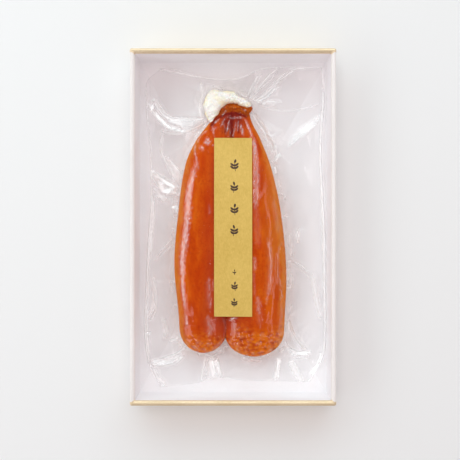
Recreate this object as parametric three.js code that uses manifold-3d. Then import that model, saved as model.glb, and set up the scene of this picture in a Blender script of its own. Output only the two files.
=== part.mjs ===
// A rigid paperboard tray with gilt paper on its two ends. In it lies a clear vacuum pack of a cured
// roe pair, with a paper strip along its middle. Millimetres, +Z up, and +Y towards the neck of the
// roe. The origin is the middle of the tray's underside.
import * as THREE from "three";
import { mergeVertices } from "three/addons/utils/BufferGeometryUtils.js";
import Module from "manifold-3d";

const wasm = await Module();
wasm.setup();

// Driving dimensions
const tray = { width: 130, length: 225, height: 30, wall: 3.1, floor: 2 };
const edge = { rim: 1.3, foot: 0.6, corner: 1.2, insideCorner: 0.5, cove: 0.8 };
const gilt = { skin: 0.4, gap: 0.1, cornerReturn: 2.5, rimDepth: 1.6, hem: 0.6 };

const restHeight = tray.floor + 0.2; // underside of the pack

// Each lobe: where it ends, how far each end takes to round off, and stations from the tip to the
// neck of [y, outer side x, thickness]. The inner side follows the cleft.
const cleft = {
  xAtTip: -4.5,
  xAtNeck: -0.6,
  yAtTip: -67,
  yAtNeck: 76,
  overlapAtTip: 0.8,
  overlapAtNeck: 4.6,
};
const leftLobe = {
  tip: -82,
  top: 83,
  tipRound: 17,
  topRound: 6,
  stations: [
    [-82, -34.6, 15],
    [-60, -35.2, 16.6],
    [-25, -38.2, 17.8],
    [8, -35.8, 17.8],
    [40, -31.2, 16.2],
    [56, -24.4, 14],
    [70, -14.2, 11.5],
    [83, -6.6, 9],
  ],
};
const rightLobe = {
  tip: -84.3,
  top: 83,
  tipRound: 16,
  topRound: 6,
  stations: [
    [-84.3, 32.6, 15.5],
    [-60, 33.8, 17.2],
    [-27, 34.8, 18.4],
    [10, 31.2, 18.2],
    [38, 25.2, 16.4],
    [58, 17.8, 13.6],
    [70, 12, 11.5],
    [83, 9.6, 9],
  ],
};
const lobeSection = { topPower: 2.3, basePower: 3, waist: 0.46, sides: 24, rings: 34 };
const pebbles = { height: 0.45, pitch: 4.2, fadeAbove: -62 };

// The pale crest over the neck is swept along an arc: [x, y, half width, half height] on its path.
const crest = {
  path: [
    [-16.8, 69.4, 1.6, 2.4],
    [-15.2, 75, 4, 4.8],
    [-11.4, 81, 7, 6],
    [-5, 83.6, 5.8, 6.6],
    [2, 82.8, 4.8, 6],
    [8, 80.8, 3.4, 4.8],
    [11.8, 79.4, 1.6, 3],
  ],
  middleHeight: 8.6,
  sides: 16,
  rings: 20,
};

// The flat margin of the pouch, and how it stands up from the tray floor
const film = {
  left: -56,
  right: 59.4,
  top: 104.5,
  bottom: -104.5,
  cornerCut: 8,
  rightCutShare: 0.6,
  cornerReach: 22,
  thickness: 1.1,
  liftOverFloor: 1.1,
  tentHeight: 6.4,
  tentReach: 5,
  sideCurl: 5.5,
  curlReach: 15,
  sideColumns: 9,
  middleColumns: 8,
  rows: 52,
};
// Ridges that the pouch's margin is drawn into, from the roe outwards
const folds = [
  { from: [-17.7, 70.4], to: [-46, 67.1], height: 2.4, spread: 4 },
  { from: [-36.7, 24.4], to: [-56, 37.6], height: 2, spread: 4 },
  { from: [11.3, 85.5], to: [31, 104], height: 1.8, spread: 3.6 },
  { from: [-16, 86], to: [-44, 102], height: 1.4, spread: 4 },
  { from: [34.3, 52.7], to: [57.9, 75.7], height: 2.2, spread: 5 },
  { from: [-33, -79], to: [-55.2, -89.3], height: 1.8, spread: 3.6 },
  { from: [-14, -84], to: [-13.5, -102], height: 1.2, spread: 5 },
  { from: [34.3, -80], to: [51.4, -90], height: 1.8, spread: 4 },
  { from: [36, -20], to: [58, -30], height: 1.2, spread: 5 },
  { from: [-38, -45], to: [-56, -56], height: 1.4, spread: 4.5 },
];

const strip = { width: 25.2, length: 115, centreX: 0.5, centreY: 0, thickness: 0.4, clearance: 0.45 };
const stripGrid = { columns: 5, rows: 24 };

const colours = {
  board: 0xf3f0ec,
  gilt: 0xd9bd86,
  pack: 0xc9531a,
  strip: 0xdcbe6a,
};

const mix = THREE.MathUtils.lerp;
const ease = THREE.MathUtils.smoothstep;
const clamp = THREE.MathUtils.clamp;

// Value of one column of a station list at y, on a smooth curve through the stations
function stationValue(stations, y, column) {
  const last = stations.length - 1;
  let i = 0;
  while (i < last - 1 && y > stations[i + 1][0]) i += 1;
  const span = stations[i + 1][0] - stations[i][0];
  const t = clamp((y - stations[i][0]) / span, 0, 1);
  const before = stations[Math.max(i - 1, 0)];
  const after = stations[Math.min(i + 2, last)];
  const slopeIn = ((stations[i + 1][column] - before[column]) / (stations[i + 1][0] - before[0])) * span;
  const slopeOut = ((after[column] - stations[i][column]) / (after[0] - stations[i][0])) * span;
  const t2 = t * t;
  const t3 = t2 * t;
  return (
    (2 * t3 - 3 * t2 + 1) * stations[i][column] +
    (t3 - 2 * t2 + t) * slopeIn +
    (3 * t2 - 2 * t3) * stations[i + 1][column] +
    (t3 - t2) * slopeOut
  );
}

// Share of the way along the cleft, from the tips at 0 to the neck at 1
function alongCleft(y) {
  return clamp((y - cleft.yAtTip) / (cleft.yAtNeck - cleft.yAtTip), 0, 1);
}

// How much of its full size a lobe keeps at y: 1 along its length, rounding to 0 at both ends
function endShare(lobe, y) {
  const fromTip = clamp((y - lobe.tip) / lobe.tipRound, 0, 1);
  const fromTop = clamp((lobe.top - y) / lobe.topRound, 0, 1);
  const round = (t) => Math.sqrt(1 - (1 - t) ** 2.2);
  return round(fromTip) * round(fromTop);
}

// Middle, half width and half thickness of a lobe's section at y
function lobeAt(lobe, y) {
  const outer = stationValue(lobe.stations, y, 1);
  const side = Math.sign(outer);
  const t = alongCleft(y);
  const overlap = mix(cleft.overlapAtTip, cleft.overlapAtNeck, t ** 4);
  const inner = mix(cleft.xAtTip, cleft.xAtNeck, t) - side * overlap;
  const share = endShare(lobe, y);
  return {
    x: (outer + inner) / 2,
    halfWidth: (Math.abs(outer - inner) / 2) * share,
    halfThickness: (stationValue(lobe.stations, y, 2) / 2) * Math.sqrt(share),
    middleZ: restHeight + stationValue(lobe.stations, y, 2) * lobeSection.waist,
  };
}

// Height of a lobe's upper surface over (x, y), or the floor where it has none
function lobeTop(lobe, x, y) {
  if (y <= lobe.tip || y >= lobe.top) return tray.floor;
  const s = lobeAt(lobe, y);
  const off = Math.abs(x - s.x) / s.halfWidth;
  if (off >= 1) return tray.floor;
  return s.middleZ + s.halfThickness * (1 - off ** lobeSection.topPower) ** (1 / lobeSection.topPower);
}

// A closed skin over a stack of loops with equal counts, its first and last loops filled by fans
function closedSkin(loops) {
  const count = loops[0].length;
  const points = loops.flat();
  const index = [];
  const quad = (a, b, c, d) => index.push(a, b, c, a, c, d);
  for (let i = 0; i + 1 < loops.length; i += 1) {
    for (let j = 0; j < count; j += 1) {
      const a = i * count + j;
      const b = i * count + ((j + 1) % count);
      quad(a, b, b + count, a + count);
    }
  }
  const middle = (loop) => loop.reduce((sum, p) => sum.add(p), new THREE.Vector3()).divideScalar(count);
  const start = points.push(middle(loops[0])) - 1;
  const end = points.push(middle(loops.at(-1))) - 1;
  const lastRow = (loops.length - 1) * count;
  for (let j = 0; j < count; j += 1) {
    index.push(start, (j + 1) % count, j);
    index.push(end, lastRow + j, lastRow + ((j + 1) % count));
  }
  return indexedGeometry(points, index);
}

// A thin solid over a grid: shape(u, v) gives each point's x, y, low and high
function gridSlab(columns, rows, shape) {
  const wide = columns + 1;
  const layer = wide * (rows + 1);
  const points = [];
  for (const face of ["low", "high"]) {
    for (let j = 0; j <= rows; j += 1) {
      for (let i = 0; i <= columns; i += 1) {
        const p = shape(i / columns, j / rows);
        points.push(new THREE.Vector3(p.x, p.y, p[face]));
      }
    }
  }
  const index = [];
  for (let j = 0; j < rows; j += 1) {
    for (let i = 0; i < columns; i += 1) {
      const a = j * wide + i;
      const corners = [a, a + 1, a + wide + 1, a + wide];
      const [p, q, r, s] = corners.map((k) => k + layer);
      index.push(p, q, r, p, r, s);
      index.push(corners[0], corners[2], corners[1], corners[0], corners[3], corners[2]);
    }
  }
  const wall = (a, b) => index.push(a, b, b + layer, a, b + layer, a + layer);
  for (let i = 0; i < columns; i += 1) {
    wall(i, i + 1);
    wall(rows * wide + i + 1, rows * wide + i);
  }
  for (let j = 0; j < rows; j += 1) {
    wall((j + 1) * wide, j * wide);
    wall(j * wide + columns, (j + 1) * wide + columns);
  }
  return indexedGeometry(points, index);
}

// Geometry from points and triangles, turned over if its faces point inwards
function indexedGeometry(points, index) {
  let volume = 0;
  for (let i = 0; i < index.length; i += 3) {
    const [a, b, c] = [points[index[i]], points[index[i + 1]], points[index[i + 2]]];
    volume += a.dot(new THREE.Vector3().crossVectors(b, c));
  }
  if (volume < 0) index.reverse();
  const geometry = new THREE.BufferGeometry().setFromPoints(points);
  geometry.setIndex(index);
  return geometry;
}

function toSolid(geometry) {
  const bare = geometry.clone();
  bare.deleteAttribute("normal");
  bare.deleteAttribute("uv");
  const merged = mergeVertices(bare);
  return new wasm.Manifold(
    new wasm.Mesh({
      numProp: 3,
      vertProperties: new Float32Array(merged.attributes.position.array),
      triVerts: new Uint32Array(merged.index.array),
    }),
  );
}

function fromSolid(solid) {
  const { vertProperties, triVerts } = solid.getMesh();
  const geometry = new THREE.BufferGeometry();
  geometry.setAttribute("position", new THREE.BufferAttribute(new Float32Array(vertProperties), 3));
  geometry.setIndex(new THREE.BufferAttribute(new Uint32Array(triVerts), 1));
  geometry.computeVertexNormals();
  return geometry;
}

function blockSolid(low, high) {
  const size = high.map((value, i) => value - low[i]);
  const block = new THREE.BoxGeometry(...size);
  block.translate(...low.map((value, i) => value + size[i] / 2));
  return toSolid(block);
}

// Rounded rectangle at height z, its sides set in from the tray's outer faces
function trayLoop(inset, z) {
  const radius = Math.max(edge.corner - inset, edge.insideCorner);
  const halfWidth = tray.width / 2 - inset - radius;
  const halfLength = tray.length / 2 - inset - radius;
  const loop = [];
  const steps = 4;
  for (const [sx, sy, turn] of [[1, 1, 0], [-1, 1, 1], [-1, -1, 2], [1, -1, 3]]) {
    for (let i = 0; i <= steps; i += 1) {
      const angle = (turn + i / steps) * (Math.PI / 2);
      loop.push(
        new THREE.Vector3(
          sx * halfWidth + radius * Math.cos(angle),
          sy * halfLength + radius * Math.sin(angle),
          z,
        ),
      );
    }
  }
  return loop;
}

// The tray's whole shape, with a skin of the given depth taken off its rim and wall faces
function trayShape(skin) {
  const top = tray.height - skin;
  const outside = skin;
  const inside = tray.wall - skin;
  const rim = edge.rim - skin / 2;
  const loops = [trayLoop(outside + edge.foot, 0), trayLoop(outside, edge.foot)];
  const steps = 3;
  for (let i = 0; i <= steps; i += 1) {
    const angle = (i / steps) * (Math.PI / 2);
    loops.push(trayLoop(outside + rim * (1 - Math.cos(angle)), top - rim * (1 - Math.sin(angle))));
  }
  for (let i = 0; i <= steps; i += 1) {
    const angle = (1 - i / steps) * (Math.PI / 2);
    loops.push(trayLoop(inside - rim * (1 - Math.cos(angle)), top - rim * (1 - Math.sin(angle))));
  }
  loops.push(trayLoop(inside, tray.floor + edge.cove));
  loops.push(trayLoop(inside + edge.cove, tray.floor));
  return toSolid(closedSkin(loops));
}

// The space that the gilt paper takes at one end: outer face, rim and short corner returns
function giltZone(end) {
  const past = 1;
  const halfLength = tray.length / 2;
  const halfWidth = tray.width / 2;
  const band = (near, far, z0, x0 = -halfWidth - past, x1 = halfWidth + past) => {
    const ys = [end * near, end * far].sort((a, b) => a - b);
    return blockSolid([x0, ys[0], z0], [x1, ys[1], tray.height + past]);
  };
  const face = band(halfLength - edge.corner, halfLength + past, gilt.hem);
  const rim = band(halfLength - tray.wall - gilt.skin, halfLength + past, tray.height - gilt.rimDepth);
  const reach = halfLength - gilt.cornerReturn;
  const outer = halfWidth - edge.corner;
  const rightReturn = band(reach, halfLength + past, gilt.hem, outer, halfWidth + past);
  const leftReturn = band(reach, halfLength + past, gilt.hem, -halfWidth - past, -outer);
  return face.add(rim).add(rightReturn).add(leftReturn);
}

function makeGiltEnd(end) {
  return trayShape(0).intersect(giltZone(end)).subtract(trayShape(gilt.skin));
}

function makeTray() {
  const core = trayShape(gilt.skin + gilt.gap);
  const grown = (end) => {
    const zone = giltZone(end);
    const back = zone.translate([0, -end * gilt.gap, 0]);
    const down = zone.translate([0, 0, -gilt.gap]);
    return zone.add(back).add(down).subtract(core);
  };
  return trayShape(0).subtract(grown(1)).subtract(grown(-1));
}

// Small bumps of single eggs, which show where the roe is thin near its tips
function pebbleRelief(x, y) {
  const fade = 1 - ease(y, pebbles.fadeAbove - 8, pebbles.fadeAbove + 4);
  const wave = (2 * Math.PI) / pebbles.pitch;
  return pebbles.height * fade * Math.sin(wave * x + 0.7 * Math.sin(y)) * Math.sin(wave * y + 0.9);
}

function makeLobe(lobe) {
  const loops = [];
  for (let i = 0; i < lobeSection.rings; i += 1) {
    const t = (i + 0.35) / (lobeSection.rings - 0.3);
    const eased = t - (Math.sin(2 * Math.PI * t) / (2 * Math.PI)) * 0.8;
    const y = mix(lobe.tip, lobe.top, eased);
    const s = lobeAt(lobe, y);
    const loop = [];
    for (let j = 0; j < lobeSection.sides; j += 1) {
      const angle = ((j + 0.5) / lobeSection.sides) * 2 * Math.PI;
      const [across, up] = [Math.cos(angle), Math.sin(angle)];
      const power = 2 / (up > 0 ? lobeSection.topPower : lobeSection.basePower);
      const x = s.x + s.halfWidth * Math.sign(across) * Math.abs(across) ** power;
      const below = Math.min(s.halfThickness, s.middleZ - restHeight);
      const reach = up > 0 ? s.halfThickness : below;
      const z = s.middleZ + reach * Math.sign(up) * Math.abs(up) ** power;
      const bump = up > 0 ? pebbleRelief(x, y) * up : 0;
      loop.push(new THREE.Vector3(x, y, z + bump));
    }
    loops.push(loop);
  }
  return toSolid(closedSkin(loops));
}

function makeCrest() {
  const places = crest.path.map(([x, y]) => new THREE.Vector3(x, y, crest.middleHeight));
  const sizes = crest.path.map(([, , wide, high]) => new THREE.Vector3(wide, high, 0));
  const place = new THREE.CatmullRomCurve3(places);
  const size = new THREE.CatmullRomCurve3(sizes);
  const loops = [];
  for (let i = 0; i < crest.rings; i += 1) {
    const t = i / (crest.rings - 1);
    const centre = place.getPoint(t);
    const along = place.getTangent(t);
    const across = new THREE.Vector3(along.y, -along.x, 0).normalize();
    const half = size.getPoint(t);
    const lump = 1 + 0.1 * Math.sin(9 * t * Math.PI);
    const loop = [];
    for (let j = 0; j < crest.sides; j += 1) {
      const angle = (j / crest.sides) * 2 * Math.PI;
      const point = centre.clone().addScaledVector(across, half.x * lump * Math.cos(angle));
      point.z = Math.max(point.z + half.y * lump * Math.sin(angle), restHeight);
      loop.push(point);
    }
    loops.push(loop);
  }
  return toSolid(closedSkin(loops));
}

// Points round the plan outline of the roe, used to tell how far the film is from it
function roeOutline() {
  const points = [];
  for (const lobe of [leftLobe, rightLobe]) {
    for (let i = 0; i <= 60; i += 1) {
      const y = mix(lobe.tip + 0.2, lobe.top - 0.2, i / 60);
      const s = lobeAt(lobe, y);
      points.push([s.x - s.halfWidth, y], [s.x + s.halfWidth, y]);
    }
  }
  for (const [x, y, wide] of crest.path) points.push([x - wide, y], [x, y + wide], [x + wide, y]);
  return points;
}
const outline = roeOutline();

function insideRoe(x, y) {
  return Math.max(lobeTop(leftLobe, x, y), lobeTop(rightLobe, x, y)) > tray.floor;
}

function distanceToRoe(x, y) {
  if (insideRoe(x, y)) return 0;
  return Math.min(...outline.map(([px, py]) => Math.hypot(x - px, y - py)));
}

function distanceToFold(fold, x, y) {
  const [dx, dy] = [fold.to[0] - fold.from[0], fold.to[1] - fold.from[1]];
  const t = clamp(((x - fold.from[0]) * dx + (y - fold.from[1]) * dy) / (dx * dx + dy * dy), 0, 1);
  return Math.hypot(x - fold.from[0] - t * dx, y - fold.from[1] - t * dy);
}

// Middle height of the pouch's margin: it tents down from the roe, then curls up at the tray's sides
function marginHeight(x, y) {
  const base = tray.floor + film.liftOverFloor;
  const tent = film.tentHeight * Math.exp(-distanceToRoe(x, y) / film.tentReach);
  const toSide = Math.min(x - film.left, film.right - x);
  const curl = film.sideCurl * (1 - ease(toSide, 0, film.curlReach)) ** 1.4;
  const ridge = (fold) => fold.height * Math.exp(-((distanceToFold(fold, x, y) / fold.spread) ** 2));
  return base + tent + curl + Math.max(...folds.map(ridge));
}

// Sides of the roe at y, carried on past both of its ends, so that the margin's grid follows them
function roeSides(y) {
  const inLength = clamp(y, leftLobe.tip, leftLobe.top);
  const toCrest = ease(y, 58, 72);
  const left = mix(stationValue(leftLobe.stations, inLength, 1), crest.path[0][0], toCrest);
  const right = mix(stationValue(rightLobe.stations, inLength, 1), crest.path.at(-1)[0], toCrest);
  return [left, right];
}

function makeMargin() {
  const columns = 2 * film.sideColumns + film.middleColumns;
  const cut = (y) => {
    const toEnd = Math.min(film.top - y, y - film.bottom);
    return film.cornerCut * (1 - ease(toEnd, 0, film.cornerReach)) ** 1.5;
  };
  const shape = (u, v) => {
    const y = mix(film.bottom, film.top, v);
    const [roeLeft, roeRight] = roeSides(y);
    const stops = [film.left + cut(y), roeLeft, roeRight, film.right - cut(y) * film.rightCutShare];
    const column = u * columns;
    const fromLeft = column / film.sideColumns;
    const fromMiddle = (column - film.sideColumns) / film.middleColumns;
    const fromRight = (column - film.sideColumns - film.middleColumns) / film.sideColumns;
    let x = mix(stops[0], stops[1], fromLeft);
    if (fromMiddle > 0) x = mix(stops[1], stops[2], fromMiddle);
    if (fromRight > 0) x = mix(stops[2], stops[3], fromRight);
    const middle = marginHeight(x, y);
    return { x, y, low: middle - film.thickness / 2, high: middle + film.thickness / 2 };
  };
  return toSolid(gridSlab(columns, film.rows, shape));
}

function makePack() {
  return makeMargin().add(makeLobe(leftLobe)).add(makeLobe(rightLobe)).add(makeCrest());
}

// The paper strip bridges the cleft: straight across, and bent along its length over the lobes
function makeStrip() {
  const left = strip.centreX - strip.width / 2;
  const right = strip.centreX + strip.width / 2;
  const under = (x, y) => Math.max(lobeTop(leftLobe, x, y), lobeTop(rightLobe, x, y));
  return gridSlab(stripGrid.columns, stripGrid.rows, (u, v) => {
    const x = mix(left, right, u);
    const y = strip.centreY + strip.length * (v - 0.5);
    const leftHeight = under(left, y);
    const rightHeight = under(right, y);
    let lift = 0;
    for (let k = 0; k <= 10; k += 1) {
      const chord = mix(leftHeight, rightHeight, k / 10);
      lift = Math.max(lift, under(mix(left, right, k / 10), y) - chord);
    }
    const low = mix(leftHeight, rightHeight, u) + lift + strip.clearance;
    return { x, y, low, high: low + strip.thickness };
  });
}

function paperBoard() {
  return new THREE.MeshStandardMaterial({ color: colours.board, roughness: 0.85, metalness: 0 });
}

function giltPaper() {
  return new THREE.MeshStandardMaterial({ color: colours.gilt, roughness: 0.45, metalness: 0.2 });
}

function packedRoe() {
  return new THREE.MeshStandardMaterial({ color: colours.pack, roughness: 0.18, metalness: 0 });
}

function stripPaper() {
  return new THREE.MeshStandardMaterial({ color: colours.strip, roughness: 0.75, metalness: 0 });
}

function named(name, geometry, material) {
  const mesh = new THREE.Mesh(geometry, material);
  mesh.name = name;
  return mesh;
}

const group = new THREE.Group();
group.add(named("tray", fromSolid(makeTray()), paperBoard()));
group.add(named("gilt_end_neck", fromSolid(makeGiltEnd(1)), giltPaper()));
group.add(named("gilt_end_tip", fromSolid(makeGiltEnd(-1)), giltPaper()));
group.add(named("pack", fromSolid(makePack()), packedRoe()));
group.add(named("label_strip", makeStrip(), stripPaper()));
export default group;
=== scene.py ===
import math

import bmesh
import bpy
import numpy as np
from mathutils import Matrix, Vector
from mathutils.geometry import delaunay_2d_cdt


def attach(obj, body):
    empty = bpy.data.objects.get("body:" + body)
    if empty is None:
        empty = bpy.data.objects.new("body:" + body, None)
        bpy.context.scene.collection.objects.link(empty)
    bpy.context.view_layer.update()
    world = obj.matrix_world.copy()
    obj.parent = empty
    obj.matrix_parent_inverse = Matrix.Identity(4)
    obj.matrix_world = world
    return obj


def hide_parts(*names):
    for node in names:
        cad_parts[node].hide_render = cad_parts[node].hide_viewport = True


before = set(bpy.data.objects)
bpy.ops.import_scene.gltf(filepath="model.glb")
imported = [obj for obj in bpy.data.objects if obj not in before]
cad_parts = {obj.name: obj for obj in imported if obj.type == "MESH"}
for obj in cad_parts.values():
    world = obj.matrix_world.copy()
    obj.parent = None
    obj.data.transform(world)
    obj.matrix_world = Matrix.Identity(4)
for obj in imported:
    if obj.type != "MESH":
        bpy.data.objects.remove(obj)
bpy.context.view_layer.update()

mm = 0.001
scene = bpy.context.scene

# general helpers

def ease(value, low, high):
    t = np.clip((value - low) / (high - low), 0.0, 1.0)
    return t * t * (3.0 - 2.0 * t)


def mixValues(a, b, t):
    return a + (b - a) * t


def linearColour(red, green, blue):
    # a colour picked on screen, 0 to 255, as Blender's linear values
    channels = []
    for value in (red, green, blue):
        v = value / 255.0
        channels.append(v / 12.92 if v <= 0.04045 else ((v + 0.055) / 1.055) ** 2.4)
    return (*channels, 1.0)


def curveThrough(stations, y, column):
    # smooth value of one column of a list of stations at y, like a drawn curve
    table = np.asarray(stations, dtype=float)
    keys = table[:, 0]
    values = table[:, column]
    last = len(keys) - 1
    i = np.clip(np.searchsorted(keys, y, side="left") - 1, 0, last - 1)
    before = np.maximum(i - 1, 0)
    after = np.minimum(i + 2, last)
    span = keys[i + 1] - keys[i]
    t = np.clip((y - keys[i]) / span, 0.0, 1.0)
    slopeIn = (values[i + 1] - values[before]) / (keys[i + 1] - keys[before]) * span
    slopeOut = (values[after] - values[i]) / (keys[after] - keys[i]) * span
    t2 = t * t
    t3 = t2 * t
    return ((2 * t3 - 3 * t2 + 1) * values[i] + (t3 - 2 * t2 + t) * slopeIn
            + (3 * t2 - 2 * t3) * values[i + 1] + (t3 - t2) * slopeOut)


def addPiece(name, points, faces, material, smooth=True):
    # points in millimetres
    mesh = bpy.data.meshes.new(name)
    mesh.from_pydata([tuple(p) for p in np.asarray(points) * mm], [], [tuple(f) for f in faces])
    mesh.materials.append(material)
    mesh.polygons.foreach_set("use_smooth", [smooth] * len(mesh.polygons))
    mesh.update()
    piece = bpy.data.objects.new(name, mesh)
    scene.collection.objects.link(piece)
    return piece


def gridFaces(columns, rows):
    # quads of a grid of points stored row by row
    i, j = np.meshgrid(np.arange(columns), np.arange(rows))
    a = (j * (columns + 1) + i).ravel()
    return np.stack([a, a + 1, a + columns + 2, a + columns + 1], axis=1)


def ringFaces(count, rings):
    # quads of a tube of rings, each closed on itself
    j, i = np.meshgrid(np.arange(count), np.arange(rings - 1))
    a = (i * count + j).ravel()
    b = (i * count + (j + 1) % count).ravel()
    return np.stack([a, b, b + count, a + count], axis=1)


def gridUvs(piece, us, vs):
    # one UV per grid point, read through each corner's vertex
    layer = piece.data.uv_layers.new(name="sheet")
    corners = np.empty(len(piece.data.loops), dtype=np.int32)
    piece.data.loops.foreach_get("vertex_index", corners)
    uv = np.stack([us.ravel()[corners], vs.ravel()[corners]], axis=1)
    layer.data.foreach_set("uv", uv.ravel())


def pointValue(piece, name, values):
    layer = piece.data.attributes.new(name, "FLOAT", "POINT")
    layer.data.foreach_set("value", np.asarray(values, dtype=np.float32).ravel())


def facesOut(piece):
    # recalculates the normals of a closed mesh
    work = bmesh.new()
    work.from_mesh(piece.data)
    bmesh.ops.recalc_face_normals(work, faces=work.faces)
    work.to_mesh(piece.data)
    work.free()


def applyModifiers(piece):
    graph = bpy.context.evaluated_depsgraph_get()
    done = bpy.data.meshes.new_from_object(piece.evaluated_get(graph))
    old = piece.data
    piece.modifiers.clear()
    piece.data = done
    done.name = piece.name
    bpy.data.meshes.remove(old)


# materials

class Shader:
    # small helper round one material's node tree
    def __init__(self, name):
        self.material = bpy.data.materials.new(name)
        self.material.use_nodes = True
        self.tree = self.material.node_tree
        self.nodes = self.tree.nodes
        self.surface = self.nodes["Principled BSDF"]
        self.output = self.nodes["Material Output"]

    def add(self, kind, **settings):
        node = self.nodes.new(kind)
        for key, value in settings.items():
            setattr(node, key, value)
        return node

    def join(self, source, target):
        self.tree.links.new(source, target)

    def place(self, scale, turn=(0, 0, 0)):
        coords = self.add("ShaderNodeTexCoord")
        mapping = self.add("ShaderNodeMapping")
        mapping.inputs["Scale"].default_value = scale
        mapping.inputs["Rotation"].default_value = turn
        self.join(coords.outputs["Object"], mapping.inputs["Vector"])
        return mapping.outputs["Vector"]

    def noise(self, vector, scale, detail=4.0, rough=0.5):
        node = self.add("ShaderNodeTexNoise")
        node.inputs["Scale"].default_value = scale
        node.inputs["Detail"].default_value = detail
        node.inputs["Roughness"].default_value = rough
        self.join(vector, node.inputs["Vector"])
        return node.outputs["Fac"]

    def ramp(self, value, stops):
        node = self.add("ShaderNodeValToRGB")
        line = node.color_ramp
        while len(line.elements) < len(stops):
            line.elements.new(0.5)
        for element, (place, colour) in zip(line.elements, stops):
            element.position = place
            element.color = linearColour(*colour)
        self.join(value, node.inputs["Fac"])
        return node.outputs["Color"]

    def math(self, how, a, b):
        node = self.add("ShaderNodeMath", operation=how)
        for socket, value in zip(node.inputs, (a, b)):
            if isinstance(value, (int, float)):
                socket.default_value = value
            else:
                self.join(value, socket)
        return node.outputs[0]

    def mix(self, share, a, b):
        node = self.add("ShaderNodeMix", data_type="RGBA", blend_type="MIX")
        sockets = [s for s in node.inputs if s.enabled]
        for socket, value in zip(sockets, (share, a, b)):
            if isinstance(value, (int, float, tuple)):
                socket.default_value = value
            else:
                self.join(value, socket)
        return [s for s in node.outputs if s.enabled][0]

    def attribute(self, name):
        return self.add("ShaderNodeAttribute", attribute_name=name).outputs["Fac"]

    def finish(self, settings):
        for socket, value in settings.items():
            self.surface.inputs[socket].default_value = value

    def bump(self, height, strength, distance, into=None):
        node = self.add("ShaderNodeBump")
        node.inputs["Strength"].default_value = strength
        node.inputs["Distance"].default_value = distance
        self.join(height, node.inputs["Height"])
        self.join(node.outputs["Normal"], (into or self.surface).inputs["Normal"])


# plain finishes: colours from shade to light over grains added together, the first of which is also felt;
# each grain has a scale along x, y and z, a noise scale, detail, roughness and share of the colour
whitePaper = {
    "grains": [((1, 1, 1), 900.0, 3.0, 0.6, 0.5), ((1, 1, 1), 45.0, 3.0, 0.5, 0.5)],
    "settings": {"Roughness": 0.8, "Specular IOR Level": 0.3},
    "bump": (0.18, 0.0002),
}
plainFinishes = {
    "wrap_paper": {"colours": [(0.3, (235, 229, 227)), (0.62, (241, 235, 233))], **whitePaper},
    "lining_paper": {"colours": [(0.3, (242, 239, 241)), (0.62, (247, 245, 247))], **whitePaper},
    "gilt_paper": {
        "colours": [(0.3, (222, 196, 157)), (0.7, (244, 224, 192))],
        "grains": [((1, 1, 1), 1400.0, 2.0, 0.5, 0.55), ((1, 3, 3), 60.0, 3.0, 0.5, 0.45)],
        "settings": {"Metallic": 0.35, "Roughness": 0.42},
        "bump": (0.15, 0.0001),
    },
    "label_paper": {
        "colours": [(0.33, (202, 166, 77)), (0.66, (224, 190, 103))],
        "grains": [((1, 0.35, 1), 1500.0, 3.0, 0.6, 0.4), ((1, 1, 1), 420.0, 2.0, 0.7, 0.3),
                   ((1, 1, 1), 38.0, 3.0, 0.5, 0.3)],
        "settings": {"Roughness": 0.72, "Specular IOR Level": 0.25},
        "bump": (0.2, 0.0001),
    },
    "brush_ink": {
        "colours": [(0.35, (58, 34, 22)), (0.75, (84, 54, 34))],
        "grains": [((1, 1, 1), 1100.0, 3.0, 0.6, 1.0)],
        "settings": {"Roughness": 0.6},
        "bump": None,
    },
}


def plainShader(name):
    look = plainFinishes[name]
    s = Shader(name)
    blend = felt = None
    for axes, scale, detail, rough, share in look["grains"]:
        grain = s.noise(s.place(axes), scale, detail, rough)
        part = s.math("MULTIPLY", grain, share)
        blend = part if blend is None else s.math("ADD", blend, part)
        felt = grain if felt is None else felt
    s.join(s.ramp(blend, look["colours"]), s.surface.inputs["Base Color"])
    s.finish(look["settings"])
    if look["bump"]:
        strength, distance = look["bump"]
        s.bump(felt, strength, distance)
    return s.material


roeLook = {
    # the flesh glows orange, redder beside the cleft, thinning to amber along the outer sides and tips
    "flesh": [(0.34, (190, 62, 4)), (0.5, (201, 76, 6)), (0.66, (213, 96, 14))],
    # then each zone's colour is laid over it, in this order
    # litEggsAndOchre paints lighter egg tops as highlight; veins also carries painted shade in the neck's
    # folds and between the eggs
    "zones": {"centre": (181, 62, 26), "rim": (213, 122, 40), "neck": (150, 48, 28),
              "roll": (176, 82, 20), "litEggsAndOchre": (232, 138, 30), "veins": (104, 18, 20)},
    "speckle": (160, 38, 10),
    "speckleShare": 0.3,
    "settings": {"Roughness": 0.42, "Specular IOR Level": 0.02, "Subsurface Weight": 0.3,
                 "Subsurface Radius": (1.0, 0.3, 0.06), "Subsurface Scale": 0.0025},
}


def roeShader():
    look = roeLook
    s = Shader("cured_roe")
    spot = s.place((1, 1, 1))
    mottle = s.noise(s.place((1, 0.35, 1)), scale=150.0, detail=5.0, rough=0.6)
    grains = s.noise(spot, scale=900.0, detail=2.0, rough=0.5)
    flesh = s.ramp(mottle, look["flesh"])
    for zone, colour in look["zones"].items():
        flesh = s.mix(s.attribute(zone), flesh, linearColour(*colour))
    speckle = s.noise(spot, scale=620.0, detail=3.0, rough=0.65)
    speckle = s.ramp(speckle, [(0.5, (0, 0, 0)), (0.66, (255, 255, 255))])
    flesh = s.mix(s.math("MULTIPLY", speckle, look["speckleShare"]), flesh, linearColour(*look["speckle"]))
    s.join(flesh, s.surface.inputs["Base Color"])
    s.finish(look["settings"])
    s.bump(s.math("ADD", s.math("MULTIPLY", grains, 0.4), mottle), strength=0.25, distance=0.0003)
    return s.material


crestLook = {
    "flesh": [(0.34, (253, 246, 226)), (0.46, (255, 252, 243)), (0.6, (255, 254, 250))],
    "lip": (252, 230, 176),       # the yellow of its dried edges
    "lipShare": 0.8,
    "settings": {"Roughness": 0.5, "Specular IOR Level": 0.3, "Subsurface Weight": 0.3,
                 "Subsurface Radius": (1.0, 0.75, 0.5), "Subsurface Scale": 0.002},
}


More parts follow.
